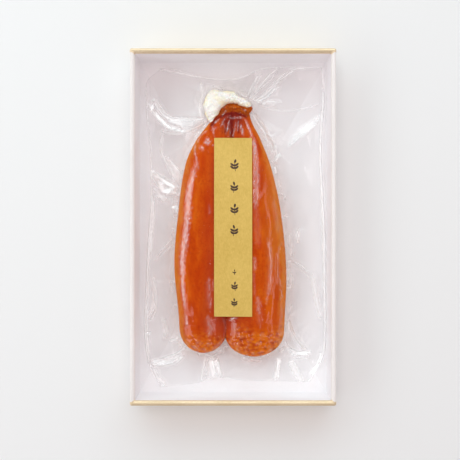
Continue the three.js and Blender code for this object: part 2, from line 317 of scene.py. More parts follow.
def crestShader():
    look = crestLook
    s = Shader("dried_crest")
    cloud = s.noise(s.place((1, 1, 1)), scale=170.0, detail=5.0, rough=0.6)
    fibre = s.noise(s.place((1, 2.2, 1), turn=(0, 0, 0.5)), scale=500.0, detail=3.0, rough=0.6)
    pale = s.ramp(cloud, look["flesh"])
    yellow = s.math("MULTIPLY", s.attribute("lip"), look["lipShare"])
    s.join(s.mix(yellow, pale, linearColour(*look["lip"])), s.surface.inputs["Base Color"])
    s.finish(look["settings"])
    s.bump(fibre, strength=0.4, distance=0.0004)
    return s.material


filmLook = {
    "clear": (0.996, 0.994, 0.994, 1),
    "milk": (0.985, 0.98, 0.985, 1),
    "faceOn": 0.04,        # how much light clear film mirrors seen square on
    "mostMirrored": 0.5,
    "leastVeil": 0.002,
    "mostVeil": 0.9,
}


def filmShader(name, gloss, haze, rough):
    # clear film: see-through, glossy by angle from either side, milky and bright along its creases; its milk
    # also carries painted highlights along folds, streaks, glints and the cut edge, and painted light round
    # the roe
    look = filmLook
    s = Shader(name)
    s.nodes.remove(s.surface)
    clear = s.add("ShaderNodeBsdfTransparent")
    clear.inputs["Color"].default_value = look["clear"]
    shine = s.add("ShaderNodeBsdfGlossy")
    shine.inputs["Roughness"].default_value = rough
    shine.inputs["Color"].default_value = (1, 1, 1, 1)
    milk = s.add("ShaderNodeBsdfDiffuse")
    milk.inputs["Color"].default_value = look["milk"]
    ripple = s.noise(s.place((1, 1, 1)), scale=420.0, detail=3.0, rough=0.55)
    s.bump(ripple, strength=0.3, distance=0.0004, into=shine)
    angle = s.add("ShaderNodeLayerWeight")
    angle.inputs["Blend"].default_value = 0.5
    glance = s.math("POWER", angle.outputs["Facing"], 5.0)
    glance = s.math("ADD", s.math("MULTIPLY", glance, 1.0 - look["faceOn"]), look["faceOn"])
    glance = s.math("MULTIPLY", s.math("MULTIPLY", glance, s.attribute("layers")), gloss)
    share = s.math("MINIMUM", glance, look["mostMirrored"])
    # it casts no shadow, and light that bounces off paper isn't mirrored in it
    ray = s.add("ShaderNodeLightPath")
    notShadow = s.math("SUBTRACT", 1.0, ray.outputs["Is Shadow Ray"])
    notDiffuse = s.math("SUBTRACT", 1.0, ray.outputs["Is Diffuse Ray"])
    share = s.math("MULTIPLY", s.math("MULTIPLY", share, notShadow), notDiffuse)
    # milk share: crease haze together with painted highlight and painted light
    milkAndPaintedGlow = s.math("ADD", s.math("MULTIPLY", s.attribute("milkAndPaintedGlow"), haze), look["leastVeil"])
    milkAndPaintedGlow = s.math("MULTIPLY", s.math("MINIMUM", milkAndPaintedGlow, look["mostVeil"]), notShadow)
    below = clear.outputs[0]
    for amount, above in ((milkAndPaintedGlow, milk), (share, shine)):
        layered = s.add("ShaderNodeMixShader")
        s.join(amount, layered.inputs[0])
        s.join(below, layered.inputs[1])
        s.join(above.outputs[0], layered.inputs[2])
        below = layered.outputs[0]
    s.join(below, s.output.inputs["Surface"])
    return s.material


def floorShader():
    s = Shader("studio_floor")
    s.finish({"Base Color": (0.86, 0.86, 0.86, 1), "Roughness": 0.9, "Specular IOR Level": 0.1})
    return s.material


# camera, floor and light

studio = {
    "cameraX": -1.9,          # the lens stands a little left of and below the tray's middle
    "cameraY": -1.9,
    "cameraHeight": 540.0,
    "rimWidthSeen": 288.9,    # what the frame takes in at the height of the rim
    "rimHeight": 30.0,
    "sensor": 36.0,
    "floorSize": 3.0,
    "roomLight": 0.775,
    "roomTint": (1.0, 0.945, 0.96, 1),
    "overheadFrom": 0.6,      # how far up the ceiling starts to darken, and where it is darkest
    "overheadTo": 0.9,
    "overheadShare": 0.05,    # the ceiling over the camera is dark
    "mirroredShare": 0.15,    # shiny parts mirror a room much darker than its boxes
}
# softboxes: lean from upright, turn from +X, distance in metres, size along the floor and up the lean;
# some only light the scene and some are only mirrored, as a photographer's flags and cards do
softboxes = {
    "window": {"lean": 52, "turn": 98, "distance": 1.1, "size": (1.5, 0.95), "radiance": 1.26,
               "tint": (0.72, 0.975, 1), "use": "both"},
    "leftBox": {"lean": 49, "turn": 180, "distance": 1.0, "size": (1.3, 0.42), "radiance": 1.2,
                "tint": (0.84, 0.985, 1), "use": "light"},
    "topFill": {"lean": 4, "turn": 90, "distance": 1.4, "size": (1.0, 1.0), "radiance": 2.33,
                "tint": (1, 0.86, 0.83), "use": "light"},
    "leftCard": {"lean": 49, "turn": 180, "distance": 0.9, "size": (1.2, 0.4), "radiance": 2.8,
                 "tint": (1, 1, 1), "use": "mirrored"},
    "backCard": {"lean": 47, "turn": 72, "distance": 1.0, "size": (1.3, 0.4), "radiance": 2.2,
                 "tint": (1, 1, 1), "use": "mirrored"},
    "rightCard": {"lean": 31, "turn": 0, "distance": 1.0, "size": (1.1, 0.16), "radiance": 2.2,
                  "tint": (1, 0.96, 0.97), "use": "mirrored"},
}


def makeRoom():
    # soft light from all round, dimmer straight overhead
    world = bpy.data.worlds.new("soft_room")
    world.use_nodes = True
    nodes, links = world.node_tree.nodes, world.node_tree.links
    way = nodes.new("ShaderNodeTexCoord")
    parts = nodes.new("ShaderNodeSeparateXYZ")
    ceiling = nodes.new("ShaderNodeMapRange")
    ceiling.interpolation_type = "SMOOTHSTEP"
    ceiling.inputs["From Min"].default_value = studio["overheadFrom"]
    ceiling.inputs["From Max"].default_value = studio["overheadTo"]
    ceiling.inputs["To Min"].default_value = studio["roomLight"]
    ceiling.inputs["To Max"].default_value = studio["roomLight"] * studio["overheadShare"]
    links.new(way.outputs["Generated"], parts.inputs[0])
    links.new(parts.outputs["Z"], ceiling.inputs["Value"])
    nodes["Background"].inputs["Color"].default_value = studio["roomTint"]
    ray = nodes.new("ShaderNodeLightPath")
    mirrored = nodes.new("ShaderNodeMapRange")
    mirrored.inputs["To Min"].default_value = 1.0
    mirrored.inputs["To Max"].default_value = studio["mirroredShare"]
    dimmed = nodes.new("ShaderNodeMath")
    dimmed.operation = "MULTIPLY"
    links.new(ray.outputs["Is Glossy Ray"], mirrored.inputs["Value"])
    links.new(ceiling.outputs["Result"], dimmed.inputs[0])
    links.new(mirrored.outputs["Result"], dimmed.inputs[1])
    links.new(dimmed.outputs[0], nodes["Background"].inputs["Strength"])
    scene.world = world


def makeSoftbox(name, plan):
    lamp = bpy.data.lights.new(name, "AREA")
    lamp.shape = "RECTANGLE"
    lamp.size, lamp.size_y = plan["size"]
    lamp.energy = plan["radiance"] * math.pi * plan["size"][0] * plan["size"][1]
    lamp.color = plan["tint"]
    lean, turn = math.radians(plan["lean"]), math.radians(plan["turn"])
    way = Vector((math.sin(lean) * math.cos(turn), math.sin(lean) * math.sin(turn), math.cos(lean)))
    box = bpy.data.objects.new(name, lamp)
    box.location = way * plan["distance"]
    box.rotation_euler = way.to_track_quat("Z", "Y").to_euler()
    box.visible_glossy = plan["use"] != "light"
    box.visible_diffuse = plan["use"] != "mirrored"
    box.visible_transmission = plan["use"] != "mirrored"
    scene.collection.objects.link(box)


def makeStudio():
    lens = bpy.data.cameras.new("overhead")
    lens.sensor_width = studio["sensor"]
    distance = studio["cameraHeight"] - studio["rimHeight"]
    lens.lens = studio["sensor"] * distance / studio["rimWidthSeen"]
    lens.clip_start = 0.01
    camera = bpy.data.objects.new("overhead", lens)
    camera.location = [studio["cameraX"] * mm, studio["cameraY"] * mm, studio["cameraHeight"] * mm]
    scene.collection.objects.link(camera)
    scene.camera = camera

    half = studio["floorSize"] / mm / 2
    corners = [(-half, -half, 0), (half, -half, 0), (half, half, 0), (-half, half, 0)]
    floor = addPiece("floor", corners, [(0, 1, 2, 3)], floorShader(), smooth=False)

    makeRoom()
    for name, plan in softboxes.items():
        makeSoftbox(name, plan)
    scene.view_settings.view_transform = "Standard"
    print("studio ready")


makeStudio()

# the tray: rigid board under white paper, and gilt paper over its two ends

trayPlan = {
    "width": 130.0,
    "length": 225.0,
    "height": 30.0,
    "wall": 3.1,
    "floor": 2.0,
    "rimOuter": 1.1,          # rounding of the rim's outer and inner edge
    "rimInner": 1.9,
    "footRound": 0.6,
    "corner": 1.2,
    "insideCorner": 0.5,
    "cove": 0.5,
    "giltSkin": 0.15,         # the gilt paper's thickness
    "giltReturn": 2.5,        # how far it laps on to the long sides, outside and inside the wall
    "giltInside": 0.1,
    "giltDepth": 2.0,         # how far it comes down inside the rim
    "arcSteps": 6,
    "sideSteps": 24,
    "boardSharp": 50.0,       # degrees from which an edge is shaded sharp
    "giltSharp": 60.0,
}
restHeight = trayPlan["floor"] + 0.2      # the roe lies just clear of the board, on the lower film


def trayLoop(inset):
    # a rounded rectangle with a point where the gilt paper ends on each long side, and each point's end
    p = trayPlan
    radius = max(p["corner"] - inset, p["insideCorner"])
    halfWidth = p["width"] / 2 - p["giltSkin"] - inset - radius
    halfLength = p["length"] / 2 - p["giltSkin"] - inset - radius
    back = mixValues(p["giltReturn"] - p["corner"], p["giltInside"], min(inset / p["wall"], 1.0))
    points = []
    tags = []
    for sx, sy, turn in ((1, 1, 0), (-1, 1, 1), (-1, -1, 2), (1, -1, 3)):
        endSide = "neck" if sy > 0 else "tip"
        entering = turn in (0, 2)
        if entering:
            points.append((sx * (halfWidth + radius), sy * (halfLength - back)))
            tags.append(endSide)
        for i in range(p["arcSteps"] + 1):
            angle = (turn + i / p["arcSteps"]) * math.pi / 2
            points.append((sx * halfWidth + radius * math.cos(angle),
                           sy * halfLength + radius * math.sin(angle)))
            tags.append(endSide)
        if entering:
            for i in range(1, p["sideSteps"]):
                x = mixValues(halfWidth, -halfWidth, i / p["sideSteps"]) * sx
                points.append((x, sy * (halfLength + radius)))
                tags.append(endSide)
        else:
            points.append((sx * (halfWidth + radius), sy * (halfLength - back)))
            tags.append(endSide)
    return np.array(points), tags


def trayProfile():
    # (set in from the outer face, height) from the underside, over the rim, to the tray floor
    p = trayPlan
    top = p["height"] - p["giltSkin"]
    outer, inner = p["rimOuter"], p["rimInner"]
    quarter = np.linspace(0, math.pi / 2, p["arcSteps"] + 1)
    profile = [(p["footRound"], 0.0), (0.0, p["footRound"])]
    for angle in quarter:
        profile.append((outer * (1 - math.cos(angle)), top - outer * (1 - math.sin(angle))))
    for angle in quarter[::-1]:
        profile.append((p["wall"] - inner * (1 - math.cos(angle)), top - inner * (1 - math.sin(angle))))
    profile.append((p["wall"], p["height"] - p["giltDepth"]))
    profile.append((p["wall"], p["floor"] + p["cove"]))
    profile.append((p["wall"] + p["cove"], p["floor"]))
    return profile


def makeTray():
    profile = trayProfile()
    rings = []
    for inset, z in profile:
        plan, tags = trayLoop(inset)
        rings.append(np.column_stack([plan, np.full(len(plan), z)]))
    count = len(rings[0])
    points = np.vstack(rings + [[[0, 0, 0]], [[0, 0, profile[-1][1]]]])
    faces = [tuple(f) for f in ringFaces(count, len(rings))]
    under, inside = len(points) - 2, len(points) - 1
    lastRow = (len(rings) - 1) * count
    for j in range(count):
        faces.append((under, (j + 1) % count, j))
        faces.append((inside, lastRow + j, lastRow + (j + 1) % count))
    tray = addPiece("tray_board", points, faces, plainShader("wrap_paper"))
    # the lining starts inside, at the last point of the rim's rounding
    tray.data.materials.append(plainShader("lining_paper"))
    liningFrom = (len(profile) - 4) * count
    for face in tray.data.polygons:
        if min(face.vertices) >= liningFrom and under not in face.vertices:
            face.material_index = 1
    facesOut(tray)
    tray.data.set_sharp_from_angle(angle=math.radians(trayPlan["boardSharp"]))
    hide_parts("tray")
    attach(tray, "root")
    return profile, tags


def makeGilt(end, node, profile, tags):
    # the paper is the tray's own skin over one end, a paper's thickness proud of it
    gilt = bpy.data.materials.get("gilt_paper") or plainShader("gilt_paper")
    firstRing = 1
    lastRing = len(profile) - 3
    keep = [j for j, tag in enumerate(tags) if tag == end]
    points = []
    for inset, z in profile[firstRing:lastRing + 1]:
        plan, _ = trayLoop(inset)
        points.append(np.column_stack([plan[keep], np.full(len(keep), z)]))
    points = np.vstack(points)
    faces = gridFaces(len(keep) - 1, lastRing - firstRing)
    piece = addPiece("gilt_paper_" + end, points, faces, gilt)
    # the faces low on the outside show which way the sheet faces
    middle = Vector((0, 0, trayPlan["height"] / 3 * mm))
    low = [f for f in piece.data.polygons if f.center.z < trayPlan["height"] * 2 / 3 * mm]
    if sum(f.normal.dot(f.center - middle) for f in low) < 0:
        piece.data.flip_normals()
    skin = piece.modifiers.new("paper", "SOLIDIFY")
    skin.thickness = trayPlan["giltSkin"] * mm
    skin.offset = 1.0
    applyModifiers(piece)
    piece.data.set_sharp_from_angle(angle=math.radians(trayPlan["giltSharp"]))
    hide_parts(node)
    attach(piece, "root")


trayRings, trayTags = makeTray()
makeGilt("neck", "gilt_end_neck", trayRings, trayTags)
makeGilt("tip", "gilt_end_tip", trayRings, trayTags)
print("tray and gilt ends ready")

# the roe: two lobes that meet at a folded neck, under a pale crest

cleft = {"xAtTip": -4.5, "xAtNeck": -0.6, "yAtTip": -67.0, "yAtNeck": 76.0,
         "overlapAtTip": 0.8, "overlapAtNeck": 4.6}
lobes = {
    "left": {
        "tip": -82.0, "top": 83.0, "tipRound": 17.0, "topRound": 6.0,
        # along, outer side, thickness
        "stations": [(-82, -34.6, 15), (-60, -35.2, 16.6), (-25, -38.2, 17.8), (8, -35.8, 17.8),
                     (40, -31.2, 16.2), (56, -24.4, 14), (70, -14.2, 11.5), (83, -6.6, 9)],
    },
    "right": {
        "tip": -84.3, "top": 83.0, "tipRound": 16.0, "topRound": 6.0,
        "stations": [(-84.3, 32.6, 15.5), (-60, 33.8, 17.2), (-27, 34.8, 18.4), (10, 31.2, 18.2),
                     (38, 25.2, 16.4), (58, 17.8, 13.6), (70, 12, 11.5), (83, 9.6, 9)],
    },
}
# how round a lobe's section is above and below its widest place, and how round its ends are from above
section = {"topPower": 2.3, "basePower": 3.0, "endPower": 2.2, "waist": 0.46, "sides": 96, "rings": 300,
           "crowding": 0.8}
relief = {
    "pebbleHeight": 0.55,     # the eggs that show at the tips
    "pebbleSize": 2.6,
    "pebbleTop": -64.0,       # how far up they reach
    "pebbleStep": 5.0,        # and how much less on the left lobe, and more at the right edge
    "pebbleFade": (-9, 4),
    "dent": 0.3,
    "groove": 0.1,
    "ripple": 0.09,
    # folds that fan out from the neck
    "fanX": 0.6, "fanY": 82.0, "fanDepth": 0.38, "fanFolds": 15.0, "fanReach": 24.0,
    # a long blister under the skin of the right lobe, and the knot below it
    "blister": (32.2, -25.5, 2.4, 15.5, 0.9), "knot": (34.3, -43.0, 2.6, 3.2, -1.3),
    # broad swellings: x, y, half width, half length, height
    "swells": [(-20.5, -50.0, 7.5, 26.0, 0.7), (-22.0, 51.0, 5.0, 8.0, 0.5), (16.0, 34.0, 4.5, 26.0, 0.6),
               (17.0, -60.0, 8.0, 9.0, 0.4)],
}


def lobeAt(lobe, y):
    # middle, half width, half height and height of the widest place of a lobe at y
    outer = curveThrough(lobe["stations"], y, 1)
    side = np.sign(outer)
    t = np.clip((y - cleft["yAtTip"]) / (cleft["yAtNeck"] - cleft["yAtTip"]), 0.0, 1.0)
    overlap = mixValues(cleft["overlapAtTip"], cleft["overlapAtNeck"], t ** 4)
    inner = mixValues(cleft["xAtTip"], cleft["xAtNeck"], t) - side * overlap
    fromTip = np.clip((y - lobe["tip"]) / lobe["tipRound"], 0.0, 1.0)
    fromTop = np.clip((lobe["top"] - y) / lobe["topRound"], 0.0, 1.0)
    power = section["endPower"]
    share = np.sqrt(1 - (1 - fromTip) ** power) * np.sqrt(1 - (1 - fromTop) ** power)
    thickness = curveThrough(lobe["stations"], y, 2)
    return ((outer + inner) / 2, np.abs(outer - inner) / 2 * share,
            thickness / 2 * np.sqrt(share), restHeight + thickness * section["waist"])


def lobeTop(lobe, x, y):
    # height of the lobe's upper face, or minus infinity off the lobe
    middle, halfWidth, halfHeight, waist = lobeAt(lobe, y)
    inLength = (y > lobe["tip"]) & (y < lobe["top"]) & (halfWidth > 0.01)
    off = np.abs(x - middle) / np.where(inLength, halfWidth, 1.0)
    rise = np.clip(1 - off ** section["topPower"], 0.0, 1.0) ** (1 / section["topPower"])
    return np.where(inLength & (off < 1), waist + halfHeight * rise, -np.inf)


def wavyField(x, y, size, seed):
    # smooth repeatable noise about 0, from a few turned sine waves
    waves = 5
    x, y = np.broadcast_arrays(x, y)
    draw = np.random.default_rng(seed)
    total = np.zeros(x.shape)
    for _ in range(waves):
        angle = draw.uniform(0, math.pi)
        scale = 2 * math.pi / (size * draw.uniform(0.6, 1.6))
        bendWay = (x * math.sin(angle) - y * math.cos(angle)) / size / 2.3
        bend = draw.uniform(0.4, 1.2) * np.sin(2 * math.pi * bendWay + draw.uniform(0, 6))
        total += np.sin(scale * (x * math.cos(angle) + y * math.sin(angle)) + bend + draw.uniform(0, 6))
    return total / waves


def cellField(x, y, size, seed):
    # distance from the nearest of a jittered grid of points, 0 at a point and near 1 between them
    draw = np.random.default_rng(seed)
    count = 96
    jitter = draw.uniform(-0.42, 0.42, (count, count, 2))
    gx, gy = x / size, y / size
    nearest = np.full(np.shape(x), 9.0)
    for dx in (-1, 0, 1):
        for dy in (-1, 0, 1):
            cx = np.floor(gx).astype(int) + dx
            cy = np.floor(gy).astype(int) + dy
            j = jitter[cx % count, cy % count]
            nearest = np.minimum(nearest, np.hypot(gx - cx - 0.5 - j[..., 0], gy - cy - 0.5 - j[..., 1]))
    return np.clip(nearest, 0.0, 1.0)


def moundAt(x, y, mound):
    # a smooth rise or dent over an upright oval
    centreX, centreY, halfWidth, halfLength, height = mound
    away = ((x - centreX) / halfWidth) ** 2 + ((y - centreY) / halfLength) ** 2
    return height * np.sqrt(np.clip(1 - away, 0, 1))


strip = {
    "width": 24.4,
    "length": 115.0,
    "centreX": 0.1,
    "centreY": 0.0,
    "thickness": 0.22,
    "clearance": 0.45,
    "calmEdge": 1.6,          # how far past its edges the roe's relief is pressed flat
    "tries": 10,              # places across it where the roe may lift it
    "columns": 24,
    "rows": 110,
    "sharp": 40.0,
}


def pairTop(x, y):
    return np.maximum(lobeTop(lobes["left"], x, y), lobeTop(lobes["right"], x, y))


def stripHeight(x, y):
    # straight across from edge to edge, and lifted where the roe would come through
    left = strip["centreX"] - strip["width"] / 2
    right = strip["centreX"] + strip["width"] / 2
    leftHeight, rightHeight = pairTop(np.full_like(y, left), y), pairTop(np.full_like(y, right), y)
    lift = np.zeros_like(y)
    for k in range(strip["tries"] + 1):
        share = k / strip["tries"]
        chord = mixValues(leftHeight, rightHeight, share)
        lift = np.maximum(lift, pairTop(np.full_like(y, mixValues(left, right, share)), y) - chord)
    across = (x - left) / strip["width"]
    return mixValues(leftHeight, rightHeight, across) + lift + strip["clearance"]


def clearOfStrip(x, y):
    # 0 under the paper strip, which lies flat and tight, rising to 1 just outside it
    outside = np.maximum(np.abs(x - strip["centreX"]) - strip["width"] / 2,
                         np.abs(y - strip["centreY"]) - strip["length"] / 2)
    return ease(outside, 0.0, strip["calmEdge"])


def pebbleShape(x, y):
    # how strongly the eggs show at a place, and their rounded shape from -1 in the gaps to 1 on top
    wander = 5 * wavyField(x, y, size=14.0, seed=5) + 3 * wavyField(x, y, size=5.0, seed=6)
    step = relief["pebbleStep"]
    top = relief["pebbleTop"] - step * ease(-x, -4, 2) + step * ease(x, 22, 30)
    low, high = relief["pebbleFade"]
    fade = 1 - ease(y + wander, top + low, top + high)
    warped = 0.5 * wavyField(x, y, size=4.0, seed=78)
    coarse = cellField(x + warped, y * 1.12 - warped, size=relief["pebbleSize"], seed=3)
    return fade, np.clip(1.15 - 2.1 * coarse, -1, 1)


def swellAt(x, y, swell):
    # a smooth rise over an upright oval, level at its edge
    centreX, centreY, halfWidth, halfLength, height = swell
    away = np.hypot((x - centreX) / halfWidth, (y - centreY) / halfLength)
    return height * (1 - ease(away, 0, 1))


def roeRelief(x, y):
    # pebbly eggs near the tips, shallow dents and long grooves along the rest, folds at the neck
    p = relief
    fade, shape = pebbleShape(x, y)
    patch = 0.6 + 0.4 * np.clip(1.6 * wavyField(x, y, size=10.0, seed=77) + 0.4, 0, 1)
    pebble = p["pebbleHeight"] * fade * patch * shape
    dent = p["dent"] * wavyField(x, y * 0.5, size=16.0, seed=8)
    dent = dent * ease(y, -84, -60) * (1 - ease(y, 50, 66))
    groove = p["groove"] * wavyField(x * 1.6, y * 0.16, size=9.0, seed=21) * ease(y, -70, -40)
    rippled = ease(wavyField(x, y, size=18.0, seed=26), -0.1, 0.4)
    ripple = p["ripple"] * wavyField(x * 0.4, y, size=2.4, seed=25) * rippled
    fromFan = np.hypot(x - p["fanX"], p["fanY"] - y)
    turn = np.arctan2(x - p["fanX"], p["fanY"] - y)
    sway = turn * p["fanFolds"] + 0.9 * wavyField(x, y, size=7.0, seed=33)
    fan = p["fanDepth"] * (np.abs(np.sin(sway)) - 0.6) * ease(fromFan, 3, 8)
    fan = fan * (1 - ease(fromFan, 12, p["fanReach"])) * (1 - 0.6 * ease(np.abs(turn), 0.35, 0.8))
    extra = moundAt(x, y, p["blister"]) + moundAt(x, y, p["knot"])
    for swell in p["swells"]:
        extra = extra + swellAt(x, y, swell)
    return (pebble + dent + groove + ripple + fan + extra) * clearOfStrip(x, y)


def nearLine(x, y, points):
    # distance to a chain of segments, negative on its right, and how far along it, 0 to 1, that place is
    points = np.asarray(points, dtype=float)
    lengths = np.hypot(*np.diff(points, axis=0).T)
    total = lengths.sum()
    best = np.full(x.shape, 1e9)
    along = np.zeros_like(x)
    walked = 0.0
    for start, end, length in zip(points[:-1], points[1:], lengths):
        way = (end - start) / length
        t = np.clip((x - start[0]) * way[0] + (y - start[1]) * way[1], 0, length)
        gap = np.hypot(x - start[0] - t * way[0], y - start[1] - t * way[1])
        gap = np.where(way[0] * (y - start[1]) < way[1] * (x - start[0]), -gap, gap)
        closer = np.abs(gap) < np.abs(best)
        best = np.where(closer, gap, best)
        along = np.where(closer, (walked + t) / total, along)
        walked += length
    return best, along


def closeTube(rings, sides):
    # faces of a tube stored ring by ring, with a point at each end
    faces = [tuple(f) for f in ringFaces(sides, rings)]
    start, last = rings * sides, (rings - 1) * sides
    for j in range(sides):
        faces.append((start, (j + 1) % sides, j))
        faces.append((start + 1, last + j, last + (j + 1) % sides))
    return faces


def makeLobe(lobe, name, material):
    rings = section["rings"]
    sides = section["sides"]
    # rings stand closer together towards both ends
    t = (np.arange(rings) + 0.4) / (rings - 0.2)
    t = t - np.sin(2 * math.pi * t) / (2 * math.pi) * section["crowding"]
    y = mixValues(lobe["tip"], lobe["top"], t)
    middle, halfWidth, halfHeight, waist = [v[:, None] for v in lobeAt(lobe, y)]
    angle = ((np.arange(sides) + 0.5) / sides * 2 * math.pi)[None, :]
    across, up = np.cos(angle), np.sin(angle)
    power = np.where(up > 0, 2 / section["topPower"], 2 / section["basePower"])
    x = middle + halfWidth * np.sign(across) * np.abs(across) ** power
    reach = np.where(up > 0, halfHeight, np.minimum(halfHeight, waist - restHeight))
    z = waist + reach * np.sign(up) * np.abs(up) ** power
    yy = np.broadcast_to(y[:, None], x.shape)
    z = z + roeRelief(x, yy) * np.clip(up, 0, 1)
    points = np.stack([x, yy, z], axis=-1).reshape(-1, 3)
    ends = [points[:sides].mean(0), points[-sides:].mean(0)]
    piece = addPiece(name, np.vstack([points, ends]), closeTube(rings, sides), material)
    facesOut(piece)
    return piece


neckRoll = {
    # the gathered skin across the neck: x, y, half width, half height
    "path": [(-10.6, 73.6, 1.0, 1.6), (-8, 75.6, 2.2, 3.2), (-3.5, 77, 3.2, 4.2), (2, 76.8, 3.4, 4.4),
             (7, 76.3, 3.1, 4.1), (10.6, 77.2, 2.3, 3.2), (12.4, 78.3, 1.0, 1.8)],
    "middleHeight": 8.6,
    "rings": 90,
    "sides": 48,
    "crumple": 0.22,
}


def makeNeckRoll(material):
    p = neckRoll
    stations = [(i / (len(p["path"]) - 1), *row) for i, row in enumerate(p["path"])]
    t = np.linspace(0, 1, p["rings"])
    x, y, wide, high = [curveThrough(stations, t, k) for k in range(1, 5)]
    dx, dy = np.gradient(x), np.gradient(y)
    length = np.hypot(dx, dy)
    angle = np.arange(p["sides"]) / p["sides"] * 2 * math.pi
    wrinkle = wavyField(x[:, None] * 1.3, 3 * np.cos(angle) + 0 * x[:, None], size=3.2, seed=19)
    swell = 1 + p["crumple"] * wrinkle
    side = wide[:, None] * np.cos(angle) * swell
    px = x[:, None] + (dy / length)[:, None] * side
    py = y[:, None] - (dx / length)[:, None] * side
    pz = p["middleHeight"] + high[:, None] * np.sin(angle) * swell
    points = np.stack([px, py, np.maximum(pz, restHeight + 0.3)], axis=-1).reshape(-1, 3)
    ends = [points[:p["sides"]].mean(0), points[-p["sides"]:].mean(0)]
    piece = addPiece("neck_roll", np.vstack([points, ends]), closeTube(p["rings"], p["sides"]), material)
    facesOut(piece)
    return piece


def rollTop(x, y):
    # height of the gathered skin, for the film that lies on it
    p = neckRoll
    path = np.array(p["path"])
    top = np.full_like(x, -np.inf)
    for a, b in zip(path[:-1], path[1:]):
        way = b[:2] - a[:2]
        t = np.clip(((x - a[0]) * way[0] + (y - a[1]) * way[1]) / (way @ way), 0, 1)
        gap = np.hypot(x - a[0] - t * way[0], y - a[1] - t * way[1]) / mixValues(a[2], b[2], t)
        rise = p["middleHeight"] + mixValues(a[3], b[3], t) * np.sqrt(np.clip(1 - gap ** 2, 0, 1))
        top = np.maximum(top, np.where(gap < 1, rise, -np.inf))
    return top


# dark lines along the neck's folds, under the roll and along the crest's lower edge: the skin's darker colour
# with painted shade in those creases; chain, reach to either side
neckFolds = [
    ([(-13.6, 66.6), (-10.4, 71.2), (-6.2, 76.4)], 2.1),
    ([(-9.5, 71.2), (-4.5, 74.0), (0, 73.2), (4.2, 73.8), (8.4, 72.4)], 2.0),
    ([(-0.3, 72), (-0.9, 66), (-0.6, 57.5)], 1.9),
    ([(-2.6, 72), (-4.8, 66.5), (-5.2, 61)], 0.5),
    ([(2.4, 72), (3.6, 66.5), (3.8, 61)], 0.5),
    ([(-3.8, 77.6), (0.5, 76.4), (5.0, 77.2)], 0.7),
    ([(5.6, 79), (6.4, 76.4), (8.6, 75.0)], 0.8),
]


# where the roe's colours lie: each pair of numbers is where a change starts and ends, in millimetres. For
# rim and tipRim it is a share of the lobe's half width, for side one of sideLength, for veinGap plain noise
roeZones = {
    "rim": (0.66, 0.98),
    "tipRim": (0.5, 0.95),
    "side": (0.15, 0.7),
    "middle": -1.5,           # x of the pair's middle, and how far from it the outer sides start and end
    "sideFrom": 17.0,
    "sideLength": 18.0,
    "tipY": (-86, -72),
    "shoulderY": (28, 60),
    "rightX": (15, 28),       # the paler flesh along the right lobe's outer half
    "rightY": (-60, -10),
    "rightTopY": (48, 72),
    "cleftX": (6, 21),        # the redder flesh beside the cleft
    "cleftY": (-80, -60),
    "cleftTopY": (40, 62),
    "neckX": (4.5, 10.5),
    "neckY": (56, 70),
    "veinGap": (0.0, 0.14),
    "veinX": (5, 12),
    "veinY": (50, 66),
    "rollY": (74.6, 76.4),
    "ochre": (1.4, 78.4, 4.6, 1.7),      # a dull yellow patch on the roll: x, y, half width, half length
}
roeStrengths = {"rim": 0.95, "tip": 0.25, "tipRim": 0.6, "rightSide": 0.55, "cleftTop": 0.7, "veins": 0.5,
                "neckFolds": 0.75, "roll": 0.5, "gaps": 0.55, "eggSkin": 0.08, "eggs": 0.6, "ochre": 0.16}


def joinRoe(material):
    # both lobes and the roll made one closed mesh
    pair = makeLobe(lobes["left"], "roe_pair", material)
    for other in (makeLobe(lobes["right"], "other_lobe", material), makeNeckRoll(material)):
        union = pair.modifiers.new("join", "BOOLEAN")
        union.operation = "UNION"
        union.solver = "EXACT"
        union.object = other
        applyModifiers(pair)
        bpy.data.objects.remove(other)
    return pair


